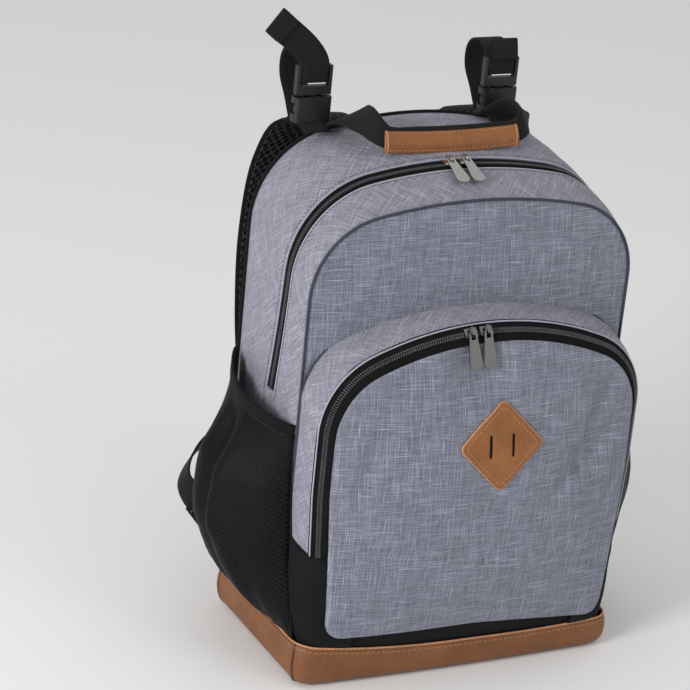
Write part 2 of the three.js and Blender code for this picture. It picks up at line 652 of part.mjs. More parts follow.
export default bag;
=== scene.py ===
import bpy, bmesh, math
import numpy as np
from mathutils import Vector, Matrix, noise


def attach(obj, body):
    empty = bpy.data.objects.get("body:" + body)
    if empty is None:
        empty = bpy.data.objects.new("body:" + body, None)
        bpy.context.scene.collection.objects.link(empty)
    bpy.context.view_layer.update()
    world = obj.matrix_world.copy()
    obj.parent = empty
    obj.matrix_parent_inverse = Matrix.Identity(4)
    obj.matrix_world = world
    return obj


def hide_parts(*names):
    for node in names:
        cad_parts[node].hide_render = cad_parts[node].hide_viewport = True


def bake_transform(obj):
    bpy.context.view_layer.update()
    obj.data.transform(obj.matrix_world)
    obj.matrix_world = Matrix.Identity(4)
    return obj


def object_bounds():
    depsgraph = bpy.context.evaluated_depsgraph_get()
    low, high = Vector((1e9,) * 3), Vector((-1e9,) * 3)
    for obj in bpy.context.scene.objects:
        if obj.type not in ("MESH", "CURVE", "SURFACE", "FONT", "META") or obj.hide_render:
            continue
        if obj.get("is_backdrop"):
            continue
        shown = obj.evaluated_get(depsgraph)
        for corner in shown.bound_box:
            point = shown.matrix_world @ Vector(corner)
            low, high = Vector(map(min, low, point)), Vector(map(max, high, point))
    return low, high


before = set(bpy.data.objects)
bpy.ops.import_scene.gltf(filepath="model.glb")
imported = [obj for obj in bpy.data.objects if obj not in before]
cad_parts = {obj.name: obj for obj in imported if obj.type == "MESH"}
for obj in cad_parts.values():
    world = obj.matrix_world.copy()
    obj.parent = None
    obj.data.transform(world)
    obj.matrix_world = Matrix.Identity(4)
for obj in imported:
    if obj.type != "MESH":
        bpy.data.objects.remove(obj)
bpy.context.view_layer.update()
MM = 0.001
SIDES = (("left", -1), ("right", 1))
ACROSS = (1.0, 0, 0)

# ---------------------------------------------------------------- camera
CAM_AZ, CAM_EL, CAM_ROLL = math.radians(-27.9), math.radians(21.66), math.radians(5.77)
CAM_DIST, CAM_TARGET, CAM_LENS = 2.329, Vector((-0.0883, 0.0, 0.2691)), 145.602
cam_data = bpy.data.cameras.new("camera")
cam_data.sensor_width = 36.0
cam_data.lens = CAM_LENS
cam_data.clip_start, cam_data.clip_end = 0.05, 50.0
cam = bpy.data.objects.new("camera", cam_data)
bpy.context.scene.collection.objects.link(cam)
aim = Matrix.Rotation(CAM_AZ, 4, "Z") @ Matrix.Rotation(math.pi / 2 - CAM_EL, 4, "X")
aim = aim @ Matrix.Rotation(CAM_ROLL, 4, "Z")
cam.matrix_world = Matrix.Translation(CAM_TARGET + aim.col[2].xyz * CAM_DIST) @ aim
bpy.context.scene.camera = cam
bpy.context.scene.view_settings.view_transform = "Standard"


# ---------------------------------------------------------------- materials
class Mat:
    """A small helper that builds node materials."""

    def __init__(self, name):
        self.material = bpy.data.materials.new(name)
        self.material.use_nodes = True
        self.tree = self.material.node_tree
        self.tree.nodes.clear()
        self.shader = self.node("ShaderNodeBsdfPrincipled")
        self.fill(self.node("ShaderNodeOutputMaterial"), Surface=self.shader.outputs[0])

    def node(self, kind, **props):
        n = self.tree.nodes.new(kind)
        for k, v in props.items():
            setattr(n, k, v)
        return n

    def feed(self, sock, v):
        """Gives an input a number, a colour or a link."""
        if isinstance(v, (tuple, list)):
            sock.default_value = (*v, 1.0) if len(v) == 3 and sock.type == "RGBA" else v
        elif isinstance(v, (int, float)):
            sock.default_value = v
        else:
            self.tree.links.new(v, sock)

    def fill(self, n, **values):
        """Feeds a node's inputs by their names, with _ for a space."""
        for key, v in values.items():
            self.feed(n.inputs[key.replace("_", " ")], v)
        return n

    def coords(self, scale=(1, 1, 1), rot=0.0, flat=True):
        """The cloth's flat coordinates or the object's own ones, in metres, turned and then scaled."""
        if flat:
            v = self.node("ShaderNodeAttribute", attribute_name="cloth").outputs["Vector"]
        else:
            v = self.node("ShaderNodeTexCoord").outputs["Object"]
        if rot:
            v = self.fill(self.node("ShaderNodeMapping"), Vector=v, Rotation=(0, 0, rot)).outputs[0]
        return self.fill(self.node("ShaderNodeMapping"), Vector=v, Scale=scale).outputs[0]

    def split(self, vec):
        sep = self.fill(self.node("ShaderNodeSeparateXYZ"), Vector=vec)
        return sep.outputs[0], sep.outputs[1]

    def noise(self, vec, scale, detail, rough):
        n = self.node("ShaderNodeTexNoise")
        return self.fill(n, Vector=vec, Scale=scale, Detail=detail, Roughness=rough).outputs["Fac"]

    def ramp(self, fac, lo, hi, a=0.0, b=1.0):
        n = self.node("ShaderNodeMapRange", clamp=True)
        return self.fill(n, Value=fac, From_Min=lo, From_Max=hi, To_Min=a, To_Max=b).outputs[0]

    def math(self, op, *values):
        n = self.node("ShaderNodeMath", operation=op)
        for sock, v in zip(n.inputs, values):
            self.feed(sock, v)
        return n.outputs[0]

    def times(self, a, b):
        return self.math("MULTIPLY", a, b)

    def plus(self, a, b):
        return self.math("ADD", a, b)

    def mix(self, fac, a, b):
        n = self.node("ShaderNodeMix", data_type="RGBA")
        for key, v in (("Factor", fac), ("A", a), ("B", b)):
            socks = [s for s in n.inputs if s.name == key and (s.type == "RGBA" or key == "Factor")]
            self.feed([s for s in socks if s.enabled][0], v)
        return [s for s in n.outputs if s.type == "RGBA"][0]

    def done(self, colour, rough, height, distance, strength, **more):
        """The finished material, with a bump from the height."""
        bump = self.fill(self.node("ShaderNodeBump"), Height=height, Distance=distance, Strength=strength)
        self.fill(self.shader, Base_Color=colour, Roughness=rough, Normal=bump.outputs[0], **more)
        return self.material


def tint(colour, by, plus=0.0):
    return tuple(by * c + plus for c in colour)


def threads(m, along, across, per_length, per_width, seed):
    """Streaks like uneven yarn. Each row is shifted by its own amount, so that the ends don't line up."""
    width = m.times(across, per_width * 0.7)
    row = m.fill(m.node("ShaderNodeCombineXYZ"), X=seed, Y=width).outputs[0]
    x = m.plus(m.times(along, per_length), m.times(m.noise(row, 1.0, 1.0, 0.5), 14.0))
    at = m.fill(m.node("ShaderNodeCombineXYZ"), X=x, Y=m.times(across, per_width), Z=seed).outputs[0]
    return m.noise(at, 1.0, 2.0, 0.55)


def melange(name, mid, light, dark, rot=0.0):
    m = Mat(name)
    x, y = m.split(m.coords(rot=rot))
    coarse = threads(m, x, y, 52, 1550, 1.0), threads(m, y, x, 52, 1550, 4.0)
    fine = threads(m, x, y, 120, 2800, 7.0), threads(m, y, x, 120, 2800, 9.0)

    def most(pair, *ramp):
        return m.math("MAXIMUM", *(m.ramp(yarn, *ramp) for yarn in pair))

    cloud = m.noise(m.coords((38, 38, 1), rot), 1.0, 3.0, 0.6)
    col = m.mix(m.ramp(cloud, 0.3, 0.7), tint(mid, 0.93), tint(mid, 1.07))
    col = m.mix(m.times(most(coarse, 0.46, 0.30), 0.9), col, dark)
    col = m.mix(m.times(most(fine, 0.48, 0.72, 0, 0.85), 0.55), col, light)
    col = m.mix(most(coarse, 0.54, 0.70), col, light)
    return m.done(col, 0.88, m.plus(m.plus(*coarse), m.plus(*fine)), 0.0005, 0.55,
                  Sheen_Weight=0.12, Sheen_Roughness=0.5, Specular_IOR_Level=0.25)


def weave(name, base, count=(1250, 1250), lift=1.35, rough=0.9, sheen=0.15):
    """Plain cloth. count is the number of threads in a metre."""
    m = Mat(name)
    c = m.coords()
    cross = m.times(*(m.math("SINE", m.times(v, n * math.pi)) for v, n in zip(m.split(c), count)))
    shade = m.plus(m.ramp(cross, -1, 1, 0, 0.5), m.ramp(m.noise(c, 30, 3.0, 0.6), 0.3, 0.7, 0, 0.5))
    height = m.plus(m.times(cross, 0.5), m.noise(c, 900, 3.0, 0.6))
    return m.done(m.mix(shade, base, tint(base, lift, 0.002)), rough, height, 0.0003, 0.7,
                  Sheen_Weight=sheen, Sheen_Roughness=0.6, Specular_IOR_Level=0.12)


def webbing(name, base):
    m = Mat(name)
    c = m.coords()
    x, y = m.split(c)
    rib = m.math("SINE", m.times(x, 2 * math.pi / 0.0021))
    twill = m.math("SINE", m.plus(m.times(y, 2 * math.pi / 0.0016), m.times(rib, 1.3)))
    height = m.plus(m.times(twill, 0.6), m.plus(m.times(rib, 0.4), m.noise(c, 700, 2.0, 0.6)))
    return m.done(m.mix(m.ramp(twill, -1, 1), base, tint(base, 1.9, 0.002)), 0.72, height, 0.00035, 0.8,
                  Sheen_Weight=0.03, Specular_IOR_Level=0.2)


def air_mesh(name, base, pitch, hole):
    m = Mat(name)
    c = m.coords((1 / pitch, 1 / (pitch * 0.82), 1), math.radians(45))
    cell = m.fill(m.node("ShaderNodeTexVoronoi"), Vector=c, Scale=1.0, Randomness=0.12)
    gap = m.ramp(cell.outputs["Distance"], hole, hole - 0.12)
    cloud = m.noise(m.coords(), 25, 3.0, 0.6)
    yarn = m.mix(m.ramp(cloud, 0.3, 0.7), base, tint(base, 1.6, 0.002))
    # The open cells are near-black, darker than the yarn, instead of showing the cloth behind: painted shade
    # of the net's inside.
    return m.done(m.mix(gap, yarn, (0.0015, 0.0015, 0.0018)), 0.55, m.math("SUBTRACT", 1.0, gap), 0.0009, 0.9,
                  Specular_IOR_Level=0.16)


def leather(name, base, pebble=760.0):
    m = Mat(name)
    c = m.coords()
    cell = m.fill(m.node("ShaderNodeTexVoronoi", feature="SMOOTH_F1"), Vector=c, Scale=pebble)
    crease = m.ramp(cell.outputs["Distance"], 0.75, 0.3)
    grain = m.noise(c, 1400.0, 3.0, 0.6)
    blot = m.noise(c, 28.0, 4.0, 0.65)
    col = m.mix(m.ramp(blot, 0.32, 0.68), tint(base, 0.8), tint(base, 1.22))
    col = m.mix(m.times(m.math("SUBTRACT", 1.0, crease), 0.4), col, tint(base, 0.6))
    return m.done(col, m.ramp(grain, 0.3, 0.7, 0.42, 0.6), m.plus(crease, m.times(grain, 0.35)), 0.00028, 0.6,
                  Specular_IOR_Level=0.45)


def metal(name, base, rough):
    m = Mat(name)
    wear = m.noise(m.coords(flat=False), 260.0, 4.0, 0.6)
    brushed = m.noise(m.coords((300, 2600, 2600), flat=False), 1.0, 2.0, 0.5)
    col = m.mix(m.ramp(wear, 0.35, 0.7), base, tint(base, 0.82))
    return m.done(col, m.ramp(wear, 0.3, 0.75, rough, rough + 0.14), brushed, 0.00002, 0.12, Metallic=1.0)


def plastic(name, base, rough=0.42):
    m = Mat(name)
    c = m.coords(flat=False)
    blot = m.noise(c, 60.0, 3.0, 0.6)
    col = m.mix(m.ramp(blot, 0.3, 0.7), base, tint(base, 1.5, 0.002))
    return m.done(col, m.ramp(blot, 0.3, 0.7, rough - 0.05, rough + 0.1), m.noise(c, 1900.0, 3.0, 0.6),
                  0.00008, 0.35)


def thread(name, base):
    m = Mat(name)
    twist = m.noise(m.coords(flat=False), 1500, 2.0, 0.5)
    col = m.mix(m.ramp(twist, 0.35, 0.65), tint(base, 0.8), base)
    return m.done(col, 0.7, twist, 0.0002, 0.5, Sheen_Weight=0.2)


def dial(r, g, b):
    """A colour given as it looks on a screen, from 0 to 255, in linear light."""
    return tuple(((v / 255 + 0.055) / 1.055) ** 2.4 if v > 10 else v / 255 / 12.92 for v in (r, g, b))


FRONT_CLOTH = melange("melange_front", dial(93, 96, 110), dial(192, 195, 211), dial(54, 56, 70))
SIDE_CLOTH = melange("melange_side", dial(109, 108, 122), dial(208, 207, 221), dial(66, 65, 80), math.pi / 4)
BLACK_CLOTH = weave("black_cloth", dial(17, 17, 19), sheen=0.02)
TAPE = weave("zip_tape", dial(12, 12, 13), (1400, 900), 1.5, 0.8, 0.01)
# The teeth's light grey is a painted highlight, so that the coil shows as light ridges on the dark zipper.
TEETH_WITH_PAINTED_HIGHLIGHT = plastic("zip_teeth_painted_highlight", dial(62, 62, 66), 0.3)
WEBBING = webbing("webbing", dial(16, 16, 17))
POCKET_MESH = air_mesh("pocket_mesh", dial(17, 17, 20), 0.0038, 0.5)
BACK_MESH = air_mesh("back_mesh", dial(40, 40, 44), 0.0056, 0.46)
TAN = leather("tan_leather", dial(144, 90, 46))
BASE_TAN = leather("base_leather", dial(127, 79, 42))
# Light tan for the leather's cut edges, and also a painted highlight along the folded edges of the base and
# of the handle's wrap.
TAN_CUT_EDGE_AND_FOLD_HIGHLIGHT = leather("tan_cut_edge_and_fold_highlight", dial(196, 140, 98), 900.0)
# The pocket's slider and pull are the same nickel as the main ones; their darker copy is painted shade that
# keeps the bright reflections on them down.
NICKEL = metal("nickel", (0.56, 0.555, 0.54), 0.16)
SHADED_NICKEL = metal("shaded_nickel", (0.29, 0.285, 0.28), 0.13)
PLASTIC = plastic("black_plastic", dial(19, 19, 20))
PALE_THREAD = thread("pale_thread", dial(196, 152, 112))
# Grey thread for the tabs' stitches, and also the painted highlight along the folded edges beside the
# zippers.
GREY_THREAD_AND_EDGE_HIGHLIGHT = thread("grey_thread_and_edge_highlight", dial(176, 177, 192))
# Dark thread for the stitches, and also the painted shadow line in the base's corner seams.
DARK_THREAD_AND_SEAM_SHADOW = thread("dark_thread_and_seam_shadow", dial(22, 22, 25))
# Real piping, given a colour darker than the front cloth: partly its own colour, partly a painted shadow of
# the seam's groove.
PIPING_WITH_SEAM_SHADOW = weave("piping", dial(58, 60, 74), (1100, 1100), 1.4, 0.85, 0.03)
LINING = weave("lining", dial(150, 152, 160), (1000, 1000), 1.1, 0.85)


# ---------------------------------------------------------------- meshes
def new_object(name, verts, faces, material, cloth=None):
    """A mesh object from points in millimetres. cloth holds its flat coordinates, in millimetres too."""
    verts = np.asarray(verts, float)
    me = bpy.data.meshes.new(name)
    me.from_pydata([tuple(v) for v in verts * MM], [], [tuple(int(i) for i in f) for f in faces])
    me.polygons.foreach_set("use_smooth", [True] * len(me.polygons))
    src = verts if cloth is None else np.asarray(cloth, float)
    flat = np.zeros((len(verts), 3))
    flat[:, : src.shape[1]] = src
    att = me.attributes.new("cloth", "FLOAT_VECTOR", "POINT")
    att.data.foreach_set("vector", (flat * MM).astype(np.float32).ravel())
    me.materials.append(material)
    o = bpy.data.objects.new(name, me)
    bpy.context.scene.collection.objects.link(o)
    return o


def grid_faces(rows, cols, wrap_u=False, wrap_v=False):
    out = []
    for j in range(rows if wrap_v else rows - 1):
        for i in range(cols if wrap_u else cols - 1):
            row, next_row, ahead = j * cols, (j + 1) % rows * cols, (i + 1) % cols
            out.append((row + i, row + ahead, next_row + ahead, next_row + i))
    return out


def lengths(points):
    """The distance along a line of points."""
    p = np.asarray(points, float)
    return np.concatenate([[0], np.cumsum(np.linalg.norm(np.diff(p, axis=0), axis=1))])


def grid_cloth(P):
    """Flat coordinates of a grid of points from the lengths along its rows and columns."""
    rows, cols = P.shape[:2]
    u = lengths(P[rows // 2])
    v = np.mean([lengths(P[:, i]) for i in (cols // 4, cols // 2, 3 * cols // 4)], axis=0)
    return np.stack([np.tile(u, (rows, 1)), np.tile(v[:, None], (1, cols))], axis=-1).reshape(-1, 2)


def sheet_grid(name, P, material, thick=1.6, cloth=None, flip=False, offset=-1.0):
    """A cloth panel from a grid of points (rows, columns, 3), made as thick as cloth."""
    P = np.asarray(P, float)
    faces = [f[::-1] if flip else f for f in grid_faces(*P.shape[:2])]
    o = new_object(name, P.reshape(-1, 3), faces, material, grid_cloth(P) if cloth is None else cloth)
    return thicken(o, thick, offset)


def thicken(o, thick, offset=-1.0):
    s = o.modifiers.new("thick", "SOLIDIFY")
    s.thickness = thick * MM
    s.offset = offset
    return o


def bevel(o, width, angle):
    b = o.modifiers.new("edges", "BEVEL")
    b.width, b.segments, b.limit_method, b.angle_limit = width * MM, 2, "ANGLE", math.radians(angle)


def at_lengths(points, at, s):
    """The values between points at some distances, where s is the distance of each point."""
    return np.stack([np.interp(at, s, column) for column in np.asarray(points, float).T], axis=1)


def resample(points, step=None, count=None):
    s = lengths(points)
    n = count or max(int(round(s[-1] / step)) + 1, 2)
    return at_lengths(points, np.linspace(0, s[-1], n), s)


def spline(points, per=12):
    """A smooth line through the points (centripetal Catmull-Rom)."""
    p = [np.asarray(q, float) for q in points]
    p = [2 * p[0] - p[1]] + p + [2 * p[-1] - p[-2]]
    out = []
    for i in range(1, len(p) - 2):
        four = p[i - 1 : i + 3]
        knots = [0.0]
        for a, b in zip(four, four[1:]):
            knots.append(knots[-1] + max(np.linalg.norm(b - a), 1e-6) ** 0.5)
        for t in np.linspace(knots[1], knots[2], per, endpoint=False):
            level = four
            for spans in (((0, 1), (1, 2), (2, 3)), ((0, 2), (1, 3)), ((1, 2),)):
                ends = [(knots[m], knots[n]) for m, n in spans]
                level = [(t1 - t) / (t1 - t0) * a + (t - t0) / (t1 - t0) * b
                         for (t0, t1), a, b in zip(ends, level, level[1:])]
            out.append(level[0])
    out.append(p[-2])
    return np.array(out)


def tangents(P, closed=False):
    if closed:
        d = np.roll(P, -1, 0) - np.roll(P, 1, 0)
    else:
        d = np.gradient(P, axis=0)
    return d / np.maximum(np.linalg.norm(d, axis=1, keepdims=True), 1e-9)


def unit(v):
    v = np.asarray(v, float)
    return v / np.maximum(np.linalg.norm(v, axis=-1, keepdims=True), 1e-9)


def sweep(name, P, side, section, material, closed=False, square=True):
    """A closed section carried along P: (across, out) pairs, or a set of them per point. side is across."""
    P = np.asarray(P, float)
    T = tangents(P, closed)
    side = np.broadcast_to(np.asarray(side, float), P.shape)
    W = unit(side - T * np.sum(side * T, axis=1, keepdims=True)) if square else unit(side)
    N = unit(np.cross(T, W))
    section = np.asarray(section, float)
    if section.ndim == 2:
        section = np.broadcast_to(section, (len(P), *section.shape))
    K = section.shape[1]
    V = P[:, None] + section[:, :, :1] * W[:, None] + section[:, :, 1:] * N[:, None]
    faces = [f[::-1] for f in grid_faces(len(P), K, True, closed)]
    if not closed:
        faces.append(tuple(range(K)))
        faces.append(tuple((len(P) - 1) * K + k for k in reversed(range(K))))
    s = np.tile(lengths(P)[:, None], (1, K))
    cloth = np.stack([section[:, :, 0] + 0.4 * section[:, :, 1], s], axis=-1).reshape(-1, 2)
    return new_object(name, V.reshape(-1, 3), faces, material, cloth)


def oval(width, thick, sides):
    a = np.linspace(0, 2 * math.pi, sides, endpoint=False)
    return np.stack([width / 2 * np.cos(a), thick / 2 * np.sin(a)], axis=1)


def strap_section(width, thick, edge=0.45, cols=6):
    """The rounded flat section of a strap."""
    w, h = width / 2, thick / 2
    top = [(x, h) for x in np.linspace(-w + edge, w - edge, cols)]
    bottom = [(x, -h) for x in np.linspace(w - edge, -w + edge, cols)]
    return np.array([(-w, 0)] + top + [(w, 0)] + bottom)


def power(v, exponent):
    """A power that keeps the sign, for the squarish ovals of padding and leather."""
    return math.copysign(abs(v) ** exponent, v)


def tube(name, P, r, material, closed=False, sides=8):
    P = np.asarray(P, float)
    side = unit(np.cross(tangents(P, closed), (0.31, 0.87, 0.38)))
    return sweep(name, P, side, oval(2 * r, 2 * r, sides), material, closed)


def looped(P):
    """A line that ends where it starts."""
    return np.concatenate([P, P[:1]])


def bead(sides, rings=3):
    """The points and faces of a superellipsoid, which looks more like a stitch or a tooth than a ball."""
    ball = [(1, 0, 0)]
    for i in range(1, rings + 1):
        lat = math.pi * i / (rings + 1)
        for k in range(sides):
            lon = 2 * math.pi * k / sides
            ball.append((math.cos(lat), math.sin(lat) * math.cos(lon), math.sin(lat) * math.sin(lon)))
    ball = np.array(ball + [(-1, 0, 0)])
    n = len(ball)
    faces = []
    for k in range(sides):
        faces.append((0, 1 + (k + 1) % sides, 1 + k))
        faces.append((n - 1, n - 1 - sides + k, n - 1 - sides + (k + 1) % sides))
    for start in range(1, 1 + (rings - 1) * sides, sides):
        for k in range(sides):
            a, b = start + k, start + (k + 1) % sides
            faces.append((a, b, b + sides, a + sides))
    return np.sign(ball) * np.abs(ball) ** 0.7, faces


def beads(name, rows, N, size, material, pitch, sides=6):
    """Small bodies set along rows, each (line, first gap), and facing N. size is (along, across, out)."""
    points, body_faces = bead(sides)
    along, across, out = (points[None, :, k, None] * size[k] / 2 for k in range(3))
    verts, faces = [], []
    for P, first in rows:
        s = lengths(P)
        at = np.arange(first + pitch / 2, s[-1], pitch)
        Q = unit(at_lengths(np.broadcast_to(np.asarray(N, float), P.shape), at, s))
        T = unit(at_lengths(P, np.minimum(at + 0.5, s[-1]), s) - at_lengths(P, np.maximum(at - 0.5, 0), s))
        W = unit(np.cross(T, Q))
        Q = unit(np.cross(W, T))
        for c, t, w, q in zip(at_lengths(P, at, s), T, W, Q):
            start = len(verts) * len(points)
            faces += [tuple(i + start for i in f) for f in body_faces]
            verts.append((c + along * t + across * w + out * q)[0])
    return new_object(name, np.concatenate(verts), faces, material)


def stitches(name, P, N, material, length, gap, r, lift):
    P = np.asarray(P, float)
    lifted = P + unit(np.broadcast_to(np.asarray(N, float), P.shape)) * lift
    return beads(name, [(lifted, 0.0)], N, (length, r, r), material, length + gap, sides=5)


def fbm(x, y, z=0.0, octaves=3):
    """Smooth noise from -1 to 1 for arrays of coordinates."""
    x, y, z = np.broadcast_arrays(x, y, z)
    out = np.empty(x.shape)
    for i in np.ndindex(x.shape):
        out[i] = noise.fractal(Vector((x[i], y[i], z[i])), 0.8, 2.0, octaves)
    return out


# ---------------------------------------------------------------- outlines
def arch_facts(s):
    """An arch has straight sides at a, corners of radius rc and a top arc of radius rt that reaches top.

    Gives the top arc's centre, the height where the sides end and the angle where the arcs meet.
    """
    centre = s["top"] - s["rt"]
    zs = centre + math.sqrt((s["rt"] - s["rc"]) ** 2 - (s["a"] - s["rc"]) ** 2)
    return centre, zs, math.atan2(zs - centre, s["a"] - s["rc"])


def arch(s, foot, ns=26, nc=26, nt=40):
    """(points, outward normals) in x and z from the left foot over the top to the right foot."""
    centre, zs, meet = arch_facts(s)
    a, rc, rt = s["a"], s["rc"], s["rt"]
    pts = [(a, z) for z in np.linspace(foot, zs, ns, endpoint=False)]
    nor = [(1, 0)] * ns
    corner, top = np.linspace(0, meet, nc, endpoint=False), np.linspace(meet, math.pi / 2, nt // 2 + 1)
    for x, z, r, turn in ((a - rc, zs, rc, corner), (0, centre, rt, top)):
        pts += [(x + r * math.cos(t), z + r * math.sin(t)) for t in turn]
        nor += [(math.cos(t), math.sin(t)) for t in turn]
    return tuple(np.concatenate([v * (-1, 1), v[-2::-1]]) for v in (np.array(pts), np.array(nor)))


def mixed(a, b, t):
    return {k: a[k] + (b[k] - a[k]) * t for k in a}


def shrunk(s, d):
    return {k: v - d for k, v in s.items()}


FRONT = {"a": 149.5, "rc": 68.0, "rt": 470.0, "top": 408.0}
ZIP = {"a": 151.0, "rc": 84.0, "rt": 430.0, "top": 427.0}
REAR = {"a": 144.5, "rc": 80.0, "rt": 346.0, "top": 440.5}
FRONT_Y, ZIP_Y, REAR_Y = -47.0, -8.0, 83.0
FOOT = 26.0
SIDE_TOP = 232.0
POCKET_ROOT = {"a": 149.5, "rc": 60.0, "rt": 340.0, "top": 320.0}


def body_outline(y):
    if y <= ZIP_Y:
        return mixed(FRONT, ZIP, (y - FRONT_Y) / (ZIP_Y - FRONT_Y))
    return mixed(ZIP, REAR, (y - ZIP_Y) / (REAR_Y - ZIP_Y))


def under_leather(z):
    """How far the sides draw in near their lower edge, which goes inside the leather."""
    return 3.5 * np.clip((58 - z) / 20, 0, 1) + 3.2 * np.clip((47 - z) / 9, 0, 1)


def in_space(p, y):
    """Points or directions in x and z, with a y for each or for all."""
    return np.stack([p[:, 0], np.broadcast_to(y, len(p)), p[:, 1]], axis=1)


def body_line(y, lift=0.0, foot=FOOT, **counts):
    """A line round the body at one depth. The zipper's lower ends lie further back than its top."""
    p, n = arch(body_outline(y), foot, **counts)
    q = p + n * lift
    q[:, 0] -= np.sign(q[:, 0]) * under_leather(q[:, 1])
    back = 17.0 * np.clip((345 - q[:, 1]) / 120, 0, 1) ** 1.4
    share = (y - FRONT_Y) / (ZIP_Y - FRONT_Y) if y <= ZIP_Y else (REAR_Y - y) / (REAR_Y - ZIP_Y)
    return in_space(q, y + back * share), in_space(n, 0.0)


def strip(name, y0, y1, rows, lift, material, foot=FOOT, thick=2.0, wrinkle=0.0, seed=0.0):
    """A gusset strip over the body between two depths. lift(t) raises it, with t 0 at y0 and 1 at y1."""
    P = []
    for t in np.linspace(0, 1, rows):
        line, nor = body_line(y0 + (y1 - y0) * t, foot=foot)
        extra = np.zeros(len(line))
        if wrinkle:
            s = lengths(line)
            broad = fbm(s / 52.0, t * (y1 - y0) / 60.0, seed)
            long = fbm(s / 95.0, t * (y1 - y0) / 17.0, seed + 20)
            low = np.clip((330 - line[:, 2]) / 80, 0, 1)
            extra = wrinkle * (broad + 1.5 * long * (0.35 + low)) * math.sin(math.pi * t) ** 0.6
        P.append(line + nor * (lift(t) + extra)[:, None])
    return sheet_grid(name, P, material, thick)


# ---------------------------------------------------------------- the body's gussets and zipper
def mark(o, nodes):
    """Hides the CAD nodes that a piece replaces."""
    if nodes:
        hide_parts(*nodes)
    return o


def put(o, body, slot, *nodes):
    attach(o, body)
    return mark(o, nodes)


def bend(o, body, start, end, slot, *nodes):
    """Hides the CAD nodes that a piece replaces and bakes its transform into its mesh; body, start and end
    are not used.
    """
    mark(o, nodes)
    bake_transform(o)
    return o


def bulge(height, edge):
    return lambda t: edge + (height - edge) * math.sin(math.pi * t) ** 0.75


TAPE_HALF = 7.0
front_edge, rear_edge = ZIP_Y - TAPE_HALF, ZIP_Y + TAPE_HALF
rear = strip("gusset_rear", rear_edge, REAR_Y, 26, bulge(3.4, 0.6), SIDE_CLOTH, wrinkle=1.5, seed=3.1)
put(rear, "bag", "melange", "rear_gusset", "side_panel_left", "side_panel_right")
fore = strip("gusset_front", FRONT_Y, front_edge, 14, bulge(1.8, 0.5), SIDE_CLOTH, wrinkle=0.9, seed=8.4)
put(fore, "bag", "melange", "front_gusset")

for label, y0, y1 in (("rear", ZIP_Y + 0.2, rear_edge + 3), ("front", front_edge - 3, ZIP_Y - 0.2)):
    tape = strip(f"zip_tape_{label}", y0, y1, 4, lambda t: -1.2, TAPE, SIDE_TOP - 6, 0.9)
    put(tape, "bag", "zipper", f"main_zip_tape_{label}")

# Pale tubes along the gusset's folded edges beside the main zipper are a painted highlight of each fold.
for label, y, off, lift in (("front", front_edge + 0.2, -3, 0.45), ("rear", rear_edge - 0.2, 3, 0.55)):
    line, _ = body_line(y, lift, SIDE_TOP - 6, ns=14)
    put(tube(f"zip_edge_highlight_{label}", line, 0.55, GREY_THREAD_AND_EDGE_HIGHLIGHT), "bag", "melange")
    line, nor = body_line(y + off, bulge(1.8, 0.5)(0.1) + 0.4, SIDE_TOP - 4, ns=14)
    put(stitches(f"zip_topstitch_{label}", line, nor, DARK_THREAD_AND_SEAM_SHADOW, 2.4, 1.0, 0.45, 0.35), "bag", "zipper")

# Under the zipper's ends the side is one piece.
for side, sgn in SIDES:
    ys = np.linspace(front_edge + 4, rear_edge + 18, 8)
    zs = np.linspace(FOOT, SIDE_TOP + 1, 40)
    P = [[(sgn * (151.4 - under_leather(z)), y, z) for y in ys] for z in zs]
    put(sheet_grid(f"side_filler_{side}", P, SIDE_CLOTH, 1.6, flip=sgn < 0), "bag", "melange")


TOOTH_PITCH = 2.1
line, nor = body_line(ZIP_Y, -0.7, SIDE_TOP - 5, ns=20)
line = resample(line, 1.0)
nor = nor[np.linspace(0, len(nor) - 1, len(line)).round().astype(int)]
W = unit(np.cross(tangents(line), nor))
coil = [(line - W * 1.15, TOOTH_PITCH / 2), (line + W * 1.15, 0.0)]
put(beads("zip_teeth_main", coil, nor, (1.35, 2.8, 1.7), TEETH_WITH_PAINTED_HIGHLIGHT, TOOTH_PITCH), "bag", "zipper")


# ---------------------------------------------------------------- filled panels
def face_front(bm):
    """Turns all the faces towards -y."""
    bmesh.ops.recalc_face_normals(bm, faces=bm.faces)
    bm.normal_update()
    if sum(f.normal.y * f.calc_area() for f in bm.faces) > 0:
        bmesh.ops.reverse_faces(bm, faces=bm.faces)


def filled(name, loop, core, depth, material, thick, rings=30, edge=(0, .004, .01, .02, .034, .052)):
    """A panel that fills a loop of (x, z) points. depth(x, z, e) gives y, with e the distance to the seam."""
    loop = np.asarray(loop, float)
    C = np.stack([np.zeros(len(loop)), np.clip(loop[:, 1], *core)], axis=1)
    s = np.concatenate([edge, np.linspace(0.075, 1, rings)])
    Q = loop[None] + (C - loop)[None] * s[:, None, None]
    Y = depth(Q[..., 0], Q[..., 1], s[:, None] * np.linalg.norm(loop - C, axis=1)[None])
    P = np.stack([Q[..., 0], Y, Q[..., 1]], axis=-1).reshape(-1, 3)
    o = new_object(name, P, grid_faces(len(s), len(loop), True), material, Q.reshape(-1, 2))
    bm = bmesh.new()
    bm.from_mesh(o.data)
    bmesh.ops.remove_doubles(bm, verts=bm.verts, dist=0.00002)
    bmesh.ops.dissolve_degenerate(bm, edges=bm.edges, dist=0.00001)
    face_front(bm)
    bm.to_mesh(o.data)
    bm.free()
    o.data.polygons.foreach_set("use_smooth", [True] * len(o.data.polygons))
    return thicken(o, thick)


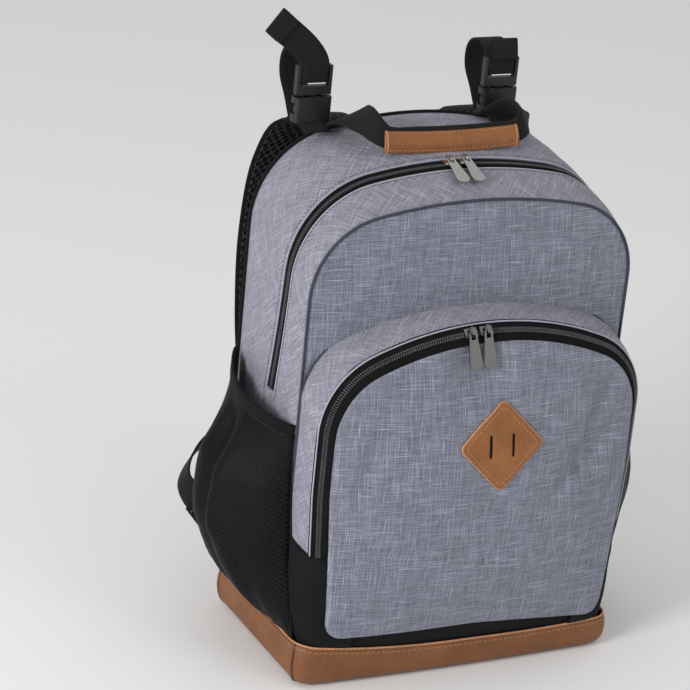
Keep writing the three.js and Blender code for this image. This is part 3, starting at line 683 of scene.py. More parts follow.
def arch_loop(s, bottom, corner=0.0, step=3.0):
    """A closed loop of an arch and a flat bottom with rounded corners, the same on both sides."""
    p, _ = arch(s, bottom + corner)
    half_arch = p[len(p) // 2 :][::-1]
    turn = np.linspace(math.pi / 2, 0, 8)
    x, z = s["a"] - corner + corner * np.cos(turn), bottom + corner - corner * np.sin(turn)
    lower = np.stack([x, z], axis=1)
    line = np.concatenate([[(0, bottom)], lower, half_arch[1:], [(0, s["top"])]])
    right_half = resample(line, step)
    left_half = right_half[1:-1][::-1] * (-1, 1)
    return np.concatenate([right_half, left_half])


def seam_roll(e, r):
    d = np.clip(r - e, 0, r)
    return r - np.sqrt(np.maximum(r * r - d * d, 0))


def arch_top(s, x):
    centre, zs, meet = arch_facts(s)
    x = np.abs(np.asarray(x, float))
    lim = (s["rt"]) * math.cos(meet)
    top = centre + np.sqrt(np.maximum(s["rt"] ** 2 - x ** 2, 0))
    side = zs + np.sqrt(np.maximum(s["rc"] ** 2 - np.maximum(x - s["a"] + s["rc"], 0) ** 2, 0))
    return np.where(x < lim, top, side)


def fold(x, z, x0, z0, angle, length, width):
    """A soft crease: 1 along its middle, fading out to its ends and sides."""
    c, s = math.cos(math.radians(angle)), math.sin(math.radians(angle))
    a = (x - x0) * c + (z - z0) * s
    b = -(x - x0) * s + (z - z0) * c
    return np.exp(-((a / length) ** 2)) * (1 - (b / width) ** 2 * 0.9) * np.exp(-((b / width) ** 2))


def creases(x, z, *rows):
    """The height of several creases, each (height, x, z, angle, length, width)."""
    return sum(height * fold(x, z, *where) for height, *where in rows)


# ---------------------------------------------------------------- the main front panel
def main_depth(x, z, e):
    t = np.clip((z - 230) / (arch_top(FRONT, x) - 230), 0, 1)
    crown = 7.5 * (1 - (np.abs(x) / 152) ** 3) * np.sin(math.pi * t) ** 0.8
    lumps = 1.7 * fbm(x / 70, z / 55, 4.0) * np.clip(e / 14, 0, 1)
    crease = creases(x, z, (3.2, -122, 262, 24, 34, 10), (1.6, -104, 336, 62, 34, 9),
                     (1.1, 96, 343, -58, 30, 9), (-0.9, -40, 352, 12, 40, 11))
    return (FRONT_Y - 1.2 - crown * np.clip(e / 26, 0, 1) ** 0.7 + seam_roll(e, 3.0) + lumps
            - crease * np.clip(e / 10, 0, 1))


MAIN_LOOP = arch_loop(FRONT, 24, 8)
main = filled("main_panel", MAIN_LOOP, (90, 290), main_depth, FRONT_CLOTH, 2.2)
put(main, "bag", "melange", "main_front_panel")
line, nor = body_line(FRONT_Y)
piping = tube("main_piping", line + nor * 0.4 + np.array([0, -1.0, 0]), 1.15, PIPING_WITH_SEAM_SHADOW, sides=10)
put(piping, "bag", "melange", "front_piping")

# ---------------------------------------------------------------- the front pocket's gusset and zipper
ZIP_OUT = {"a": 151.5, "rc": 71.0, "rt": 280.0, "top": 318.0}
ZIP_IN = {"a": 139.5, "rc": 57.0, "rt": 266.0, "top": 304.0}
ROOT_Y, ZIP_Y0, ZIP_Y1 = -49.3, -85.35, -98.35
POCKET_FOOT = 106.0


def taper(z, y=-98.0):
    """How much narrower the pocket is near its bottom."""
    return 1 - 0.052 * np.clip((178 - z) / 120, 0, 1) * np.clip((-y - 49) / 45, 0, 1)


def pocket_line(s, y, lift=0.0, out=0.0, foot=POCKET_FOOT, **counts):
    p, n = arch(s, foot, **counts)
    q = (p + n * lift) * np.stack([taper(p[:, 1], y), np.ones(len(p))], axis=1)
    return in_space(q, y - out), in_space(n, 0.0)


GUSSET_END = mixed(ZIP_OUT, ZIP_IN, 0.12)
P = []
for t in np.linspace(0, 1, 22):
    line, nor = pocket_line(mixed(POCKET_ROOT, GUSSET_END, t), ROOT_Y + (ZIP_Y0 - 1.6 - ROOT_Y) * t)
    a = lengths(line)
    ripple = fbm(a / 17.0, t * 1.1, 2.2) * 1.5 * (1 - t) ** 1.2 * np.exp(-((a - 210) / 120) ** 2)
    soft = fbm(a / 60.0, t * 0.8, 7.7) * 1.3
    swell = 2.6 * math.sin(math.pi * min(t * 1.02, 1)) ** 0.7
    P.append(line + nor * (swell + (soft + ripple) * math.sin(math.pi * t) ** 0.5)[:, None])
put(sheet_grid("pocket_gusset_cloth", P, SIDE_CLOTH, 1.8, flip=True), "bag", "melange", "pocket_gusset")
line, nor = pocket_line(POCKET_ROOT, ROOT_Y, 0.6, 1.2, foot=40)
put(tube("pocket_root_piping", line, 1.25, PIPING_WITH_SEAM_SHADOW, sides=10), "bag", "melange", "pocket_piping")

OUTWARD = np.array([13.0, -14.0]) / math.hypot(14, 13)


def zip_line(s, h, foot=POCKET_FOOT, **counts):
    """A line along the zipper, h above its face. s is 0 at its outer edge and 1 at its inner one."""
    line, nor = pocket_line(mixed(ZIP_OUT, ZIP_IN, s), ZIP_Y0 + (ZIP_Y1 - ZIP_Y0) * s, foot=foot, **counts)
    face = nor * OUTWARD[0] + np.array([0, OUTWARD[1], 0])
    under_corners = 3.4 * np.clip((121 - line[:, 2]) / 8, 0, 1)
    return line + face * (h - under_corners)[:, None], face


def zip_band(name, s0, s1, rows):
    return sheet_grid(name, [zip_line(s, -0.6)[0] for s in np.linspace(s0, s1, rows)], TAPE, 0.9, flip=True)


# Two points on the pocket's panel: the cloth below the first is sewn to the bag, and the cloth above the
# second opens down with the flap.
FOLD = (0, -0.1143, 0.112), (0, -0.1143, 0.150)
put(zip_band("pocket_tape_outer", 0.0, 0.49, 4), "bag", "zipper", "pocket_zip_tape_outer")
bend(zip_band("pocket_tape_inner", 0.51, 0.99, 6), "flap", *FOLD, "zipper", "pocket_zip_tape_inner")
# A pale tube along the pocket gusset's folded edge is a painted highlight of the fold.
line, _ = zip_line(0.1, 0.2, foot=119, ns=18)
put(tube("pocket_zip_edge_highlight", line, 0.62, GREY_THREAD_AND_EDGE_HIGHLIGHT), "bag", "melange")
line, _ = zip_line(0.16, -0.35, ns=18)
put(tube("pocket_tape_rib_outer", line, 0.42, TAPE, sides=6), "bag", "zipper")
line, _ = zip_line(0.86, -0.35, ns=18)
bend(tube("pocket_tape_rib_inner", line, 0.42, TAPE, sides=6), "flap", *FOLD, "zipper")
line, face = zip_line(0.5, 0.0, ns=18)
line = resample(line, 1.0)
face = unit(resample(face, count=len(line)))
W = unit(np.cross(tangents(line), face))
W = W * np.sign(-W[:, 1:2])
POCKET_TOOTH = (1.35, 2.9, 1.7)
outer_row, inner_row = [(line - W * 1.2, TOOTH_PITCH / 2)], [(line + W * 1.2, 0.0)]
put(beads("pocket_teeth_outer", outer_row, face, POCKET_TOOTH, TEETH_WITH_PAINTED_HIGHLIGHT, TOOTH_PITCH), "bag", "zipper")
inner_teeth = beads("pocket_teeth_inner", inner_row, face, POCKET_TOOTH, TEETH_WITH_PAINTED_HIGHLIGHT, TOOTH_PITCH)
bend(inner_teeth, "flap", *FOLD, "zipper")

# ---------------------------------------------------------------- the front pocket's panel, which folds down
FLAP = shrunk(ZIP_IN, -0.6)
PANEL_BOTTOM = 49.0


def pocket_crown(x, z):
    t = np.clip((z - 14) / (arch_top(FLAP, np.clip(x, -134, 134)) - 14), 0, 1)
    return 22.5 * (1 - (np.abs(x) / 147) ** 2.6) * np.sin(math.pi * t) ** 0.85


def pocket_depth(x, z, e):
    lumps = 2.3 * fbm(x / 75, z / 60, 1.3) * np.clip(e / 18, 0, 1)
    crease = creases(x, z, (4.6, 92, 196, 42, 38, 15), (2.6, 104, 240, 62, 30, 11),
                     (-1.2, -92, 150, -40, 40, 16), (2.4, -110, 205, 74, 34, 10),
                     (-2.2, 40, 110, 10, 60, 22), (2.2, -96, 128, -24, 34, 10))
    near_top = np.clip((z - 252) / 26, 0, 1) * np.clip(e / 6, 0.25, 1)
    under_pulls = 7.5 * np.exp(-(((x + 17) / 26) ** 4)) * near_top
    return (-98.4 - pocket_crown(x, z) + under_pulls + seam_roll(e, 3.2)
            + (lumps + 1.35 * crease * np.clip(e / 12, 0, 1)))


flap_loop = arch_loop(shrunk(FLAP, 0.2), PANEL_BOTTOM, 15, 2.6)
flap_loop[:, 0] *= taper(flap_loop[:, 1])
low_right = np.clip(flap_loop[:, 0] / 128, 0, 1) ** 1.3 * np.clip((118 - flap_loop[:, 1]) / 66, 0, 1)
flap_loop[:, 1] -= 12.0 * low_right
flap_panel = filled("pocket_panel", flap_loop, (110, 205), pocket_depth, FRONT_CLOTH, 2.0)
bend(flap_panel, "flap", *FOLD, "melange", "pocket_flap", "pocket_panel_lower")


# ---------------------------------------------------------------- black cloth under the pocket
def base_top(x, y):
    """The height of the leather's upper edge: it dips in the middle of the front."""
    front = np.clip((-y - 70) / 20, 0, 1)
    right_side = np.clip(x / 150, 0, 1) ** 1.5 * np.clip((25 - y) / 110, 0, 1)
    dip = 12.0 * front * (1 - np.clip(np.abs(x) / 150, 0, 1) ** 2.0)
    return 40.0 - dip - 2.0 * (1 - front) - 11.0 * right_side


# The corner's upper and lower line seen from above, on the right side.
CORNER_TOP = spline([(150.4, -45), (151.4, -60), (151.2, -74), (149.6, -84), (145.0, -92), (137, -97.2),
                     (126, -99.8), (112, -101)], 8)
CORNER_LOW = spline([(147.4, -45), (147.6, -62), (147.9, -76), (146.6, -84.5), (142, -89.0), (134, -91.0),
                     (124, -91.4), (112, -91.6)], 8)


def corner_point(a, b, t, sgn):
    """A point of the corner between its lower line at a and its upper line at b."""
    drop = np.clip((-a[1] - 45) / 50, 0, 1)
    z0 = base_top(sgn * a[0], a[1]) - 6
    z = z0 + (130 - 10 * drop - z0) * t
    q = a + (b - a) * np.clip((z - z0 - 6) / 20, 0, 1) ** 0.55
    puff = 2.4 * math.sin(math.pi * t) ** 0.8 * math.sin(math.pi * min(1, drop * 1.1)) ** 0.5
    lump = noise.fractal(Vector((a[1] / 26, t * 3, 5.5 * sgn)), 0.8, 2.0, 3) * min(1, t * 5)
    out = unit(np.array([a[0] - 100, a[1] + 60])) * (puff + lump)
    return sgn * (q[0] + out[0]) * taper(z, q[1]), q[1] + out[1], z


for side, sgn in SIDES:
    P = [[corner_point(a, b, t, sgn) for a, b in zip(CORNER_LOW, CORNER_TOP)] for t in np.linspace(0, 1, 30)]
    corner = sheet_grid(f"pocket_corner_{side}", P, BLACK_CLOTH, 1.6, flip=sgn < 0)
    put(corner, "bag", "black_cloth", f"pocket_side_{side}")
    put(tube(f"pocket_corner_edge_{side}", P[-1], 0.9, BLACK_CLOTH), "bag", "black_cloth")

xs = np.linspace(-132, 132, 70)
z0 = base_top(xs, -92.0) - 6
P = []
for t in np.linspace(0, 1, 16):
    z = z0 + (64 - z0) * t
    grow = np.clip((z - z0 - 5) / 20, 0, 1) ** 0.6
    swell = (3.4 + pocket_crown(xs, z) * 0.92) * grow
    y = -91.2 - swell + 0.8 * fbm(xs / 34, t * 1.5, 9.0) * grow + 2.0 * t ** 4
    P.append(np.stack([xs, y, z], axis=1))
put(sheet_grid("pocket_lower_band", P, BLACK_CLOTH, 1.6), "bag", "black_cloth", "pocket_bottom_band")


# ---------------------------------------------------------------- the leather base
def arcs(corners, r, count):
    """The points of quarter circles, each given as (centre, centre, first angle)."""
    return [(cx + r * math.cos(math.radians(a)), cy + r * math.sin(math.radians(a)))
            for cx, cy, a0 in corners for a in np.linspace(a0, a0 + 90, count)]


def base_outline(inset, count=220):
    """The base's outline seen from above, from the middle of the back, anticlockwise."""
    hx, y0, y1, r = 150.6 - inset, -92.8 + inset, 82.8 - inset, 15.0 - min(inset * 0.4, 8)
    corners = ((-hx + r, y1 - r, 90), (-hx + r, y0 + r, 180), (hx - r, y0 + r, 270), (hx - r, y1 - r, 360))
    return resample([(0, y1)] + arcs(corners, r, 10) + [(0, y1)], count=count + 1)[:-1]


def base_ring(inset, drop=0.0):
    """A line round the base, inside its outline by inset and below its upper edge by drop."""
    p = base_outline(inset)
    sag = 3.6 * (1 - (p[:, 0] / 150) ** 2) * (p[:, 1] < -60)
    y = p[:, 1] - sag * np.clip(1 - inset / 10, 0, 1)
    return np.stack([p[:, 0], y, base_top(p[:, 0], p[:, 1]) - drop], axis=1)


def away(ring):
    """The level directions out of the base."""
    return unit((ring - (0, -5, 0)) * (1, 1, 0))


# From the upper edge to the bottom's middle: how far in, and how high as a share of the edge's height.
ROLL = [(0.0, 1.0), (-0.9, 0.86), (-1.7, 0.62), (-1.5, 0.42), (-0.6, 0.26), (1.4, 0.14), (4.2, 0.06),
        (8.0, 0.02), (14.0, 0.0), (26, 0.006), (50, 0.02), (74, 0.03), (86, 0.03)]
BASE = []
for inset, k in ROLL:
    ring = base_ring(inset)
    ring[:, 2] = ring[:, 2] * k if k > 0.03 else 34 * k
    ripple = 0.5 * fbm(np.arange(len(ring)) / 17.0, k * 3, 12.0) * min(1, k * 3)
    BASE.append(ring + away(ring) * ripple[:, None])
BASE = np.array(BASE)
along = np.tile(lengths(BASE[0]), (len(ROLL), 1))
down = BASE[..., 2] - np.array([max(0, inset) for inset, _ in ROLL])[:, None]
base_cloth = np.stack([along, down], axis=-1).reshape(-1, 2)
faces = [f[::-1] for f in grid_faces(*BASE.shape[:2], True)]
base = new_object("base_leather", BASE.reshape(-1, 3), faces, BASE_TAN, base_cloth)
put(thicken(base, 2.4), "bag", "leather", "leather_base")
# A light tube along the base's rolled upper edge is a painted highlight of the fold.
edge = base_ring(0.0) + (0, 0, 0.2)
out = away(edge)
put(tube("base_rim_highlight", edge - out * 0.6, 0.95, TAN_CUT_EDGE_AND_FOLD_HIGHLIGHT, closed=True), "bag", "leather")
seam = looped(base_ring(-0.75, drop=3.6))
put(stitches("base_stitches", seam, looped(out), PALE_THREAD, 3.2, 1.7, 0.6, 0.15), "bag", "leather")
for side, sgn in SIDES:
    for label, goal_y in (("front", -80), ("rear", 70)):
        i = int(np.argmin(np.linalg.norm(BASE[0, :, :2] - (sgn * 152, goal_y), axis=1)))
        j = min((i - 1, i + 1), key=lambda k: BASE[0, k, 1] * (1 if goal_y < 0 else -1))
        ridge = spline(BASE[:8, i] + (sgn * 0.1, 0, 0), 5)
        # A thin dark tube sunk in the groove beside each seam's ridge is a painted shadow line.
        groove = spline(BASE[:8, i] * 0.62 + BASE[:8, j] * 0.38 - (sgn * 0.05, 0, 0), 5)
        put(tube(f"base_seam_{label}_{side}", ridge, 0.85, BASE_TAN), "bag", "leather")
        put(tube(f"base_seam_shadow_{label}_{side}", groove, 0.42, DARK_THREAD_AND_SEAM_SHADOW), "bag", "leather")

# ---------------------------------------------------------------- the patch
PATCH_X, PATCH_Z, PATCH_HALF = 4.0, 218.5, 38.0
SLOTS = (("left", -10.4), ("right", 10.4))


def diamond(half, corner, count=96):
    """A square on its corner with rounded corners, as (x, z) about its middle."""
    h = half / math.sqrt(2) - corner
    pts = arcs(((h, h, 0), (-h, h, 90), (-h, -h, 180), (h, -h, 270)), corner, 8)
    p = resample(pts + pts[:1], count=count + 1)[:-1]
    return np.stack([p[:, 0] - p[:, 1], p[:, 0] + p[:, 1]], axis=1) * math.sqrt(0.5)


def on_pocket(p, lift):
    """Points over the pocket's panel, from (x, z) about the patch's middle."""
    x, z = (np.asarray(p, float) + (PATCH_X, PATCH_Z)).T
    return np.stack([x, pocket_depth(x, z, np.full(x.shape, 60.0)) - lift, z], axis=-1)


def patch_mesh():
    rings = [diamond(PATCH_HALF + 1.0, 5.0)]
    turn = np.linspace(0, math.pi, 6)
    slot_top = np.stack([1.4 * np.cos(turn), 8.4 + 1.4 * np.sin(turn)], axis=1)
    for _, x in SLOTS:
        rings.append(np.concatenate([slot_top, -slot_top]) + (x, 0))
    bm = bmesh.new()
    edges = []
    for ring in rings:
        vs = [bm.verts.new((x, 0, z)) for x, z in ring]
        edges += [bm.edges.new(ends) for ends in zip(vs, vs[1:] + vs[:1])]
    bmesh.ops.triangle_fill(bm, edges=edges, use_beauty=True)
    for _ in range(2):
        bmesh.ops.subdivide_edges(bm, edges=[e for e in bm.edges if e.calc_length() > 5], cuts=1)
        bmesh.ops.triangulate(bm, faces=bm.faces)
    bmesh.ops.beautify_fill(bm, faces=bm.faces, edges=[e for e in bm.edges if not e.is_boundary])
    face_front(bm)
    flat = np.array([(v.co.x, v.co.z) for v in bm.verts])
    bm.verts.index_update()
    faces = [tuple(v.index for v in f.verts) for f in bm.faces]
    bm.free()
    o = thicken(new_object("patch_leather", on_pocket(flat, 2.0), faces, TAN, flat), 1.9)
    bevel(o, 0.45, 50)
    return o


put(patch_mesh(), "flap", "leather", "lash_patch")
rim = on_pocket(diamond(PATCH_HALF + 1.0, 5.0), 1.15)
put(tube("patch_edge", rim, 0.85, TAN_CUT_EDGE_AND_FOLD_HIGHLIGHT, closed=True), "flap", "leather")
sewn = on_pocket(looped(diamond(PATCH_HALF - 4.2, 3.6)), 2.0)
put(stitches("patch_stitches", sewn, (0, -1, 0), PALE_THREAD, 2.3, 1.3, 0.55, 0.05), "flap", "leather")
for side, x in SLOTS:
    line = on_pocket([(x, z) for z in np.linspace(-10.2, 10.2, 12)], 0.5)
    backing = sweep(f"patch_slot_backing_{side}", line, ACROSS, strap_section(4.2, 0.5, 0.2), TAPE)
    put(backing, "flap", "leather")

# ---------------------------------------------------------------- mesh side pockets
MESH_Y, MESH_END, MESH_Z, MESH_RISE = -45.0, 77.0, 36.0, 180.0
# The net's swell from its foot to its elastic edge, as (height, how far out).
MESH_PROFILE = spline([(0.0, 0.0), (0.03, 5.0), (0.09, 18.0), (0.2, 35.0), (0.34, 48.0), (0.5, 56.5),
                       (0.66, 53.0), (0.8, 41.0), (0.9, 30.0), (1.0, 22.0)], 10)


def mesh_bulge(u, v):
    body = np.sin(math.pi * u ** 0.92) ** 0.78 * np.interp(v, MESH_PROFILE[:, 0], MESH_PROFILE[:, 1])
    wave = np.sin(2 * math.pi * (u * 3.1 + 0.22 * np.sin(2.4 * v + 1.0)))
    folds = 3.4 * wave * np.clip(1.15 - v, 0, 1) * np.clip(v * 5, 0, 1)
    small = 1.3 * np.sin(2 * math.pi * (u * 7.3 + 0.3 * np.sin(4 * v))) * np.exp(-((v - 0.08) / 0.2) ** 2)
    dent = np.exp(-((u - 0.40 - 0.12 * v) / 0.075) ** 2)
    pulled = -9.5 * dent * np.clip(1.2 * v, 0, 1) * np.clip((0.97 - v) * 8, 0, 1)
    return body + (folds + small + pulled) * np.sin(math.pi * u) ** 0.6


def mesh_point(u, v, out=0.0):
    """A point of the right net: u goes from its front seam to its rear one, v from its foot to its edge."""
    u, v = np.broadcast_arrays(np.asarray(u, float), np.asarray(v, float))
    z = MESH_Z + MESH_RISE * v + 22.0 * v * (u - 0.12)
    x = 150.4 + 1.0 * np.sin(math.pi * v) + mesh_bulge(u, v) + out - 3.6 * np.clip(1 - v / 0.03, 0, 1)
    start = MESH_Y - 31.0 * (1 - v) ** 1.25
    y = start + (MESH_END - start) * u + 2.2 * np.sin(2 * math.pi * (v * 1.3 + u * 2)) * np.sin(math.pi * u)
    return np.stack([x, y, z], axis=-1)


us = np.linspace(0, 1, 96)
U, V = np.meshgrid(us, np.linspace(0, 1, 60))
grid = mesh_point(U, V)
grid[..., 0] += 0.8 * fbm(U * 5, V * 6, 3.0) * np.sin(math.pi * U) ** 0.5
net_cloth = np.stack([U * 185, V * 205], axis=-1).reshape(-1, 2)
top_edge = mesh_point(us, 0.985, 0.3)
ruffle = 0.12 * np.sin(lengths(top_edge) / 2.6)
hem = np.array([strap_section(12.6 + 0.4 * r, 2.8 + 0.7 * r, 1.0, 8) for r in ruffle])
for side, sgn in SIDES:
    mirror = np.array([sgn, 1, 1])
    net = sheet_grid(f"pocket_net_{side}", grid * mirror, POCKET_MESH, 1.3, net_cloth, flip=sgn < 0)
    put(net, "bag", "mesh", f"mesh_pocket_{side}")
    line = top_edge * mirror
    binding = sweep(f"pocket_binding_{side}", line + np.array([0, 0, 5.0]), (0, 0, 1.0), hem, BLACK_CLOTH)
    put(binding, "bag", "black_cloth", f"elastic_binding_{side}")
    row = line + np.array([sgn * 1.5, 0, 0.4])
    sewn = stitches(f"pocket_binding_stitches_{side}", row, (sgn, 0, 0), DARK_THREAD_AND_SEAM_SHADOW, 2.6, 1.2, 0.5, 0.2)
    put(sewn, "bag", "black_cloth")
    for label, u in (("front", 0.0), ("rear", 1.0)):
        seam = mesh_point(u, np.linspace(0, 1, 30)) * mirror
        put(tube(f"pocket_net_seam_{label}_{side}", seam, 1.2, BLACK_CLOTH), "bag", "mesh")


# ---------------------------------------------------------------- the back panel and its air mesh
def back_depth(x, z, e):
    t = np.clip((z - 34) / (arch_top(REAR, np.clip(x, -146, 146)) - 34), 0, 1)
    pads = 4.2 * np.abs(np.sin(math.pi * (np.abs(x) - 9) / 62)) ** 0.5 * (np.abs(x) > 9)
    tiers = 1.8 * np.abs(np.sin(math.pi * (z - 60) / 84)) ** 0.5
    soft = np.clip(e / 16, 0, 1) ** 0.6
    return 84.0 + (4.5 + pads + tiers) * soft - seam_roll(e, 3.0) + 0.4 * fbm(x / 50, z / 50, 6.0)


back_loop = arch_loop(shrunk(REAR, 0.5), 38.4, 12)
BACK_EDGE = (0, .006, .014, .026, .04, .055)
back_pad = filled("back_pad", back_loop, (110, 290), back_depth, BACK_MESH, 2.6, 56, BACK_EDGE)
for p in back_pad.data.polygons:
    p.flip()
put(back_pad, "bag", "mesh", "back_panel")
line, nor = body_line(REAR_Y, 0.6, 39.5)
put(tube("back_binding", line + (0, 1.6, 0), 2.2, BLACK_CLOTH, sides=10), "bag", "black_cloth")

# ---------------------------------------------------------------- shoulder straps
# The pad's path and width, on the right side.
PAD = [(50, 101, 402, 62), (60, 114, 424, 63), (76, 127.5, 424, 63), (90, 135, 392, 62), (97, 139, 326, 60),
       (99, 135, 256, 55), (98, 129.5, 190, 47)]
LOCK_LOOP = [(130.8, 206), (131.0, 190), (131.0, 180), (130.9, 176), (129.9, 174), (128, 173.2), (126.1, 174),
             (125.1, 176), (125.0, 180), (126.2, 188), (127.8, 206)]
# The points of a lower strap and the directions across it there.
LOWER = [(158, 96.5, 79.5), (167, 107, 89.5), (171, 119, 103), (157, 131, 122), (129, 137, 139),
         (104, 136, 151), (98, 132.6, 165)]
LOWER_ACROSS = [(-.3, -.38, .87), (-.36, -.42, .83), (-.12, -.64, .75), (.25, -.72, .62), (.6, -.5, .55),
                (.9, -.15, .35), (1, 0, .1)]


def pad_section(width, thick):
    """A padded strap's section: a squarish oval with a groove along each sewn edge."""
    half, ring = width / 2, []
    for t in np.linspace(0, 2 * math.pi, 26, endpoint=False):
        x = half * power(math.cos(t), 0.8)
        groove = 1 - 0.42 * math.exp(-(((abs(x) - (half - 6.5)) / 1.3) ** 2))
        ring.append((x, thick * power(math.sin(t), 0.55) * groove * (0.75 if abs(x) > half - 6 else 1)))
    return ring


def tab_row(t, sgn, margin=0.0, count=14):
    """A line across the tab, a folded piece of cloth that holds the strap's lower end."""
    c = np.array([sgn * 148.6, 86.0, 70.0]) * (1 - t) + np.array([sgn * 165.5, 105.5, 88.0]) * t
    end_across = unit(np.array([-sgn * 0.36, -0.42, 0.83]))
    across = np.array([0, 0, 24.5 - margin]) * (1 - t) + end_across * (13.6 - margin) * t
    return np.array([c + across * w for w in np.linspace(-1, 1, count)])


for side, sgn in SIDES:
    body = f"shoulder_{side}"
    q = spline([(sgn * x, y, z, w) for x, y, z, w in PAD], 14)
    path, widths = q[:, :3], q[:, 3]
    k = lengths(path)
    thick = 5.9 * (1 - 0.55 * np.exp(-((k[-1] - k) / 9) ** 2) - 0.35 * np.exp(-(k / 9) ** 2))
    sections = [pad_section(w, h) for w, h in zip(widths, thick)]
    pad = sweep(f"strap_pad_{side}", path, ACROSS, sections, BACK_MESH, square=False)
    put(pad, body, "mesh", f"shoulder_pad_{side}")
    N = unit(np.cross(tangents(path), ACROSS))
    for label, e in (("inner", -1), ("outer", 1)):
        line = path + np.outer(e * (widths / 2 - 1.0), ACROSS)
        name = f"strap_binding_{label}_{side}"
        put(sweep(name, line, ACROSS, oval(6.8, 3.8, 10), BLACK_CLOTH, square=False), body, "black_cloth")
        line = path + np.outer(e * (widths / 2 - 5.2), ACROSS)
        for face_label, f in (("front", 1), ("rear", -1)):
            name = f"strap_stitches_{label}_{face_label}_{side}"
            put(stitches(name, line + N * f * 3.0, N * f, DARK_THREAD_AND_SEAM_SHADOW, 2.6, 1.3, 0.5, 0.2), body, "mesh")
    # Webbing sewn into the pad's end goes round the ladder lock's upper bar.
    lock_loop = spline([(sgn * 98, y, z) for y, z in LOCK_LOOP], 6)
    put(sweep(f"strap_lock_loop_{side}", lock_loop, ACROSS, strap_section(24, 1.4), WEBBING), body, "webbing")
    low = spline([(sgn * x, y, z) for x, y, z in LOWER], 14)
    low_across = spline([(sgn * x, y, z) for x, y, z in LOWER_ACROSS], 14)
    tape = sweep(f"lower_strap_{side}", low, low_across, strap_section(24, 1.7), WEBBING)
    bend(tape, body, tuple(low[18] * MM), tuple(low[-10] * MM), "webbing", f"lower_webbing_{side}")
    rows = [tab_row(t, sgn) for t in np.linspace(0, 1, 12)]
    tab = sheet_grid(f"strap_tab_{side}", rows, BLACK_CLOTH, 3.4, flip=sgn > 0, offset=0.0)
    put(tab, "bag", "black_cloth", f"anchor_tab_{side}")
    for face_label, f in (("a", 1), ("b", -1)):
        for t in (0.2, 0.86):
            line = tab_row(t, sgn, 2.2, 20)
            out = unit(np.cross((sgn * 16.9, 19.5, 18.0), line[-1] - line[0])) * f
            name = f"strap_tab_stitches_{face_label}_{int(t * 100)}_{side}"
            put(stitches(name, line + out * 1.75, out, GREY_THREAD_AND_EDGE_HIGHLIGHT, 2.4, 1.2, 0.5, 0.1), "bag", "black_cloth")

# ---------------------------------------------------------------- stroller straps
BAR_Y, BAR_Z, BAR_R = 102.0, 480.0, 18.6
# Over the bar and down through the buckle's slots, as (y, z).
BAR_ARC = [(BAR_Y + BAR_R * math.cos(math.radians(a)), BAR_Z + BAR_R * math.sin(math.radians(a)))
           for a in (15, 50, 90, 125, 150)]
STROLLER = [(94.6, 438), (106, 454), (119.0, 470)] + BAR_ARC + [
    (82.6, 484.6), (81.1, 478.3), (80.3, 474.9), (79, 474.3), (77.7, 474.9), (76.9, 478.3), (76.8, 484),
    (76.6, 490)]
# The free end is turned over twice and sewn, so that it doesn't slip out of the buckle: (ahead, over).
HEM = ((-15, 2.1), (-8, 2.2), (-2, 2.3), (1.2, 1.9), (2.0, 0.9), (1.4, -0.4), (-2, -1.9), (-8, -2.0),
       (-13, -1.9))
ANCHOR = [(62, 436.2), (68, 438.4), (74, 440.0), (78.2, 440.9), (79.4, 443.5), (79.2, 447.0)]
for side, cx, rise, lean in (("left", -101.0, 35.0, -39.0), ("right", 76.0, 10.0, 0.0)):
    free = [(cx + lean * 0.25, 76.3, 495 + 0.25 * rise), (cx + lean, 77.9, 493 + rise)]
    path = spline([(cx, y, z) for y, z in STROLLER] + free, 8)
    strap = sweep(f"stroller_strap_{side}", path, ACROSS, strap_section(24.5, 1.6), WEBBING)
    put(strap, "bag", "webbing", f"stroller_loop_{side}")
    end, ahead = path[-1], unit(path[-1] - path[-9])
    over = unit(np.cross(ahead, ACROSS))
    over = over * (1 if over[1] < 0 else -1)
    across = unit(np.cross(over, ahead))
    hem = spline([end + ahead * d + over * h for d, h in HEM], 6)
    put(sweep(f"stroller_hem_{side}", hem, across, strap_section(24.6, 1.5), WEBBING), "bag", "webbing")
    for d in (12.5, 3.5):
        line = [end - ahead * d + across * w + over * 2.95 for w in np.linspace(-11, 11, 20)]
        name = f"stroller_hem_stitches_{int(d)}_{side}"
        put(stitches(name, line, over, DARK_THREAD_AND_SEAM_SHADOW, 2.3, 1.0, 0.5, 0.05), "bag", "webbing")
    anchor = spline([(cx, y, z) for y, z in ANCHOR], 6)
    anchor = sweep(f"buckle_anchor_{side}", anchor, ACROSS, strap_section(24.5, 1.6), WEBBING)
    put(anchor, "bag", "webbing", f"anchor_webbing_{side}")

# ---------------------------------------------------------------- the handle
# Half of the strap from its sewn end: its path, its width and how far it is turned towards the grip.
HANDLE_HALF = [(74, 83.5, 434.2, 35, 0.0), (74.5, 75, 438.2, 35, 0.0), (75.5, 66, 444.5, 34, 0.03),
               (76.5, 54, 452, 32, 0.14), (76, 41, 456, 28, 0.36), (73.5, 28, 454.5, 24, 0.66),
               (69, 18, 449.5, 20.5, 0.92), (60, 14.0, 444.9, 19.0, 1.0), (30, 13.6, 443.2, 19.0, 1.0)]


def root_side(sgn):
    return unit(np.array([-sgn, 0.0, 0.21]))


